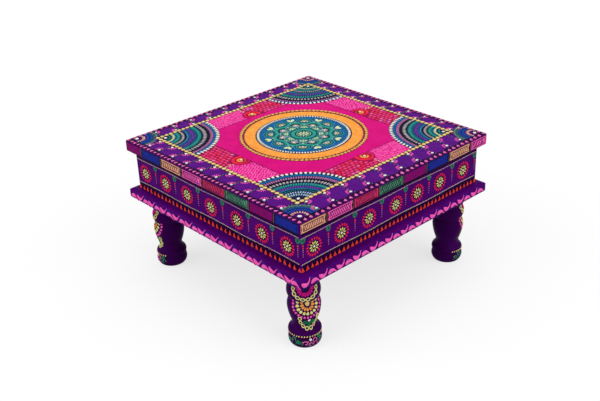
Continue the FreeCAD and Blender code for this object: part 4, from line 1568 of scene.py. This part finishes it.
@dataclass
class LegOrnament(Ornament):
    """The painting on the outward side of each leg."""

    widest: float = 23.2
    crown: tuple[float, float] = (3.0, 97.6)
    belly: tuple[float, float] = (5.8, 71.8)
    waist: tuple[float, float] = (8.2, 44.4)

    def face(self, corner: int) -> LegFace:
        """A leg's face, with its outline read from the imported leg."""
        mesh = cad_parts["leg_front_right"].data
        places = np.empty(3 * len(mesh.vertices))
        mesh.vertices.foreach_get("co", places)
        places = places.reshape(-1, 3) / MM
        levels = np.round(places[:, 2], 2)
        reach = np.hypot(places[:, 0] - self.table.leg_axis, places[:, 1] + self.table.leg_axis)
        steps = np.unique(levels)
        radii = np.array([reach[levels == step].max() for step in steps])
        outer = radii > 0.6 * self.widest
        return LegFace(self.table.leg_axis, self.widest, steps[outer], radii[outer], corner)

    def lay(self) -> None:
        """Lays the ornament of all four legs."""
        for corner in range(len(CORNERS)):
            face, prefix = self.face(corner), "leg_" + CORNERS[corner] + "_"
            self.mandala(face, prefix)
            self.loops(face, prefix, self.crown, 18.8, 8, 176)
            self.loops(face, prefix, self.waist, 14.6, 8, 238)
            self.foot(face, prefix)

    def mandala(self, face: LegFace, prefix: str) -> None:
        """Hanging arcs of petals under the rail, on the belly and at the waist."""
        slim, broad, plump = (Dab(*size, taper=0.3, sides=10)
                              for size in ((6.8, 2.8, 0.6), (5.4, 3.2, 0.7), (5.6, 4.0, 0.7)))
        small = Dab(4.4, 3.5, 0.6, taper=0.2, sides=10)
        for name, paint, centre, radius, count, span, dab in (
                ("rose_petals", Paint.ROSE, self.crown, 10.6, 11, 190, slim),
                ("orange_petals", Paint.ORANGE, self.belly, 8.2, 9, 218, broad),
                ("lime_petals", Paint.LIME, self.belly, 14.9, 11, 208, plump),
                ("pink_petals", Paint.PINK, self.belly, 22.0, 17, 206, small),
                ("green_leaves", Paint.GREEN, self.waist, 8.0, 3, 184, Dab(8.2, 6.4, 0.6, taper=-0.3)),
                ("navy_patches", Paint.NAVY, self.crown, 3.0, 1, 10, Dab(6.0, 9.0, 0.4))):
            self.painter.round(prefix + name, paint, face, centre, radius, fan(count, DOWN, span), dab)
        self.painter.dabs(prefix + "gold_beads", Paint.YELLOW, face, *self.belly, 0.0, Dab(6.8, 6.8, 1.1))
        self.painter.dabs(prefix + "cream_beads", Paint.CREAM, face, *self.waist, 0.0, Dab(4.4, 4.4, 0.9))

    def loops(self, face: LegFace, prefix: str, centre: tuple[float, float], radius: float, count: int,
              span: float) -> None:
        """Small rings of paint in a hanging arc.

        Args:
            face: The leg's face.
            prefix: The start of the pieces' names.
            centre: The arc's centre.
            radius: Its radius.
            count: How many rings.
            span: The arc's span in degrees.
        """
        lines = ovals(centre, radius, fan(count, DOWN, span), full_turn(14), 2.4, 2.9)
        self.painter.strokes(prefix + "loops", Paint.LIME, face, *lines, 1.5, 0.7, closed=True)

    def foot(self, face: LegFace, prefix: str) -> None:
        """The base of a leg: a dotted line over leaves and swirls on a dark ground."""
        painter = self.painter
        run = np.linspace(-31, 31, 30)
        painter.strokes(prefix + "dark_ground", Paint.BLACK, face, run, 9.4, 13.6, 0.1)
        painter.dabs(prefix + "gold_beads", Paint.GOLD, face, np.linspace(-30, 30, 17), 19.6, 1.1,
                     Dab(3.2, 2.0, 0.7, sides=8))
        painter.dabs(prefix + "green_leaves", Paint.GREEN, face, np.array([-8.0, 23.5]),
                     np.array([9.6, 14.6]), np.array([2.7, 0.4]), Dab(8.6, 5.6, 0.6, taper=0.4), 0.1)
        bend = np.linspace(0, 5.4, 24)
        for name, paint, swirls in (
                ("pink_swirls", Paint.PETAL_PINK,
                 ((1.4, 8.6, 4.2, -1), (8.2, 6.4, 3.6, 1), (16.0, 11.4, 4.0, -1))),
                ("teal_swirls", Paint.SAGE,
                 ((-17.0, 12.4, 3.6, 1), (-24.0, 9.0, 3.4, -1), (26.0, 9.0, 3.8, 1)))):
            for start, level, size, way in swirls:
                reach = size * (1 - bend / 7.0)
                painter.strokes(prefix + name, paint, face, start + way * reach * np.cos(bend),
                                level + reach * np.sin(bend), 1.1, 0.6, 0.1)
        strands = np.array([-27.0, -20.0, -13.0, -3.5, 4.5, 11.5, 20.0])
        rise = np.linspace(-1, 1, 6)[None]
        painter.strokes(prefix + "dark_strands", Paint.JADE, face, strands[:, None] + 1.6 * np.cos(2 * rise),
                        8.6 + 3.4 * rise, 0.8, 0.5, 0.1)
        painter.dabs(prefix + "pink_dots", Paint.PINK, face, np.array([4.6, 12.0, 13.4, 18.6]),
                     np.array([11.2, 7.2, 9.6, 6.4]), 0.6, Dab(2.4, 1.8, 0.6, sides=8), 0.1)
        painter.dabs(prefix + "cream_beads", Paint.CREAM, face, 8.6, 13.8, 0.0, Dab(3.6, 3.6, 0.8), 0.1)


class Timber:
    """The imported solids, which keep their shapes and take their finishes here."""

    def __init__(self, table: TableSizes, materials: Materials) -> None:
        """Takes the table's sizes and the materials."""
        self.table = table
        self.materials = materials

    def finish_of(self, node: str) -> bpy.types.Material:
        """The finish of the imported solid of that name."""
        across = node.endswith(("_right", "_left"))
        along = Grain.ALONG_Y if across else Grain.ALONG_X
        if node.startswith("corner_block_"):
            return self.materials.bare_wood(Grain.UPRIGHT)
        if node.startswith("top_cleat_"):
            return self.materials.bare_wood(along)
        if node.endswith(("screws", "bolts", "washers", "nuts")):
            return self.materials.zinc()
        if node.startswith("leg_"):
            along = Grain.TURNED
        sizes = self.table
        return self.materials.painted_wood(along, (sizes.apron_inner_half + 0.4) * MM,
                                           (sizes.rail_low + 3.0) * MM, (sizes.slab_low + 0.8) * MM)

    def dress(self) -> None:
        """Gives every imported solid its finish."""
        for name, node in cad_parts.items():
            finish = self.finish_of(name)
            if not node.material_slots:
                node.data.materials.append(None)
            for slot in node.material_slots:
                slot.link = "OBJECT"
                slot.material = finish
            log.info("%s: %s", name, finish.name)


@dataclass
class Studio:
    """A pale floor, soft lamps and the photograph's camera."""

    table: TableSizes
    floor_side_m: float = 8.0
    azimuth: float = 47.69178
    elevation: float = 27.36735
    roll: float = -2.13172
    distance_tops: float = 3.53075
    right_tops: float = -0.02743
    up_tops: float = -0.24692
    focal_px: float = 906.778
    frame_px: float = 600.0
    sensor: float = 36.0
    sky_strength: float = 0.42
    floor_glow: float = 0.72
    sun_power: float = 1.05
    sun_spread: float = 60.0

    def seen(self, wiring: Wiring) -> bpy.types.NodeSocket:
        """One where the camera sees a thing, straight or in a mirror, and zero for its light."""
        path = wiring.add("ShaderNodeLightPath").outputs
        mirrored = wiring.math("MAXIMUM", path["Is Glossy Ray"], path["Is Transmission Ray"])
        return wiring.math("MAXIMUM", path["Is Camera Ray"], mirrored)

    def floor(self) -> None:
        """A pale floor that keeps the table's shadow."""
        mesh = bpy.data.meshes.new("floor")
        half = self.floor_side_m / 2
        corners = [(-half, -half, 0), (half, -half, 0), (half, half, 0), (-half, half, 0)]
        mesh.from_pydata(corners, [], [(0, 1, 2, 3)])
        plane = bpy.data.objects.new("floor", mesh)
        bpy.context.scene.collection.objects.link(plane)
        material = bpy.data.materials.new("floor")
        material.use_nodes = True
        material.node_tree.nodes.clear()
        wiring = Wiring(material.node_tree)
        pale = wiring.blend(wiring.add("ShaderNodeLightPath").outputs["Is Camera Ray"],
                            (0.66, 0.66, 0.67, 1), (1, 1, 1, 1))
        matt = wiring.add("ShaderNodeBsdfDiffuse", None, {"Color": pale})
        glow = wiring.add("ShaderNodeEmission", None, {"Color": (1, 1, 1, 1), "Strength": 1.0})
        share = wiring.math("MULTIPLY", self.seen(wiring), self.floor_glow)
        mixed = wiring.add("ShaderNodeMixShader", None, {0: share, 1: matt.outputs[0], 2: glow.outputs[0]})
        wiring.add("ShaderNodeOutputMaterial", None, {"Surface": mixed.outputs[0]})
        mesh.materials.append(material)

    def surround(self) -> None:
        """A white surround that lights softly from all sides."""
        world = bpy.data.worlds.new("surround")
        world.use_nodes = True
        world.node_tree.nodes.clear()
        wiring = Wiring(world.node_tree)
        strength = wiring.range(self.seen(wiring), 0.0, 1.0, self.sky_strength, 1.0)
        glow = wiring.add("ShaderNodeBackground", None, {"Color": (1, 1, 1, 1), "Strength": strength})
        wiring.add("ShaderNodeOutputWorld", None, {"Surface": glow.outputs[0]})
        bpy.context.scene.world = world

    def lamps(self) -> None:
        """Three wide soft suns: over the table, and to both sides of the camera."""
        for name, place in (("sun_over", (0.1, -0.1, 2.2)), ("sun_left", (-1.2, -2.2, 1.3)),
                            ("sun_right", (2.3, 1.0, 1.3))):
            light = bpy.data.lights.new(name, "SUN")
            light.energy = self.sun_power
            light.angle = math.radians(self.sun_spread)
            lamp = bpy.data.objects.new(name, light)
            lamp.location = place
            lamp.rotation_mode = "QUATERNION"
            lamp.rotation_quaternion = Vector(place).to_track_quat("Z", "Y")
            bpy.context.scene.collection.objects.link(lamp)

    def camera(self) -> None:
        """The photograph's camera, placed from the table's top by angles and distances."""
        azimuth, elevation, roll = (math.radians(a) for a in (self.azimuth, self.elevation, self.roll))
        flat = math.cos(elevation)
        back = Vector((math.sin(azimuth) * flat, -math.cos(azimuth) * flat, math.sin(elevation)))
        right = Vector((math.cos(azimuth), math.sin(azimuth), 0))
        up = back.cross(right)
        eye = Vector((0, 0, self.table.top_level)) + 2 * self.table.top_half * (
            back * self.distance_tops + right * self.right_tops + up * self.up_tops)
        rolled_right = right * math.cos(roll) + up * math.sin(roll)
        rolled_up = up * math.cos(roll) - right * math.sin(roll)
        data = bpy.data.cameras.new("camera")
        data.sensor_width = self.sensor
        data.lens = self.focal_px * self.sensor / self.frame_px
        camera = bpy.data.objects.new("camera", data)
        bpy.context.scene.collection.objects.link(camera)
        turn = Matrix((rolled_right, rolled_up, back)).transposed()
        camera.matrix_world = Matrix.Translation(eye * MM) @ turn.to_4x4()
        bpy.context.scene.camera = camera

    def build(self) -> None:
        """Sets up the floor, the surround, the lamps and the camera."""
        self.floor()
        self.surround()
        self.lamps()
        self.camera()
        bpy.context.scene.view_settings.view_transform = "Standard"


def main() -> None:
    """Dresses the frame, lays the ornament and sets up the studio."""
    logging.basicConfig(level=logging.INFO, format="%(name)s: %(message)s")
    table = TableSizes()
    materials = Materials()
    Timber(table, materials).dress()
    painter = Painter(materials, SEED)
    for ornament in (TopBorder, TopPanel, Medallion, SlabEdge, ApronOrnament, RailOrnament, LegOrnament):
        ornament(painter, table).lay()
    painter.build()
    Studio(table).build()


if __name__ == "__main__":
    main()
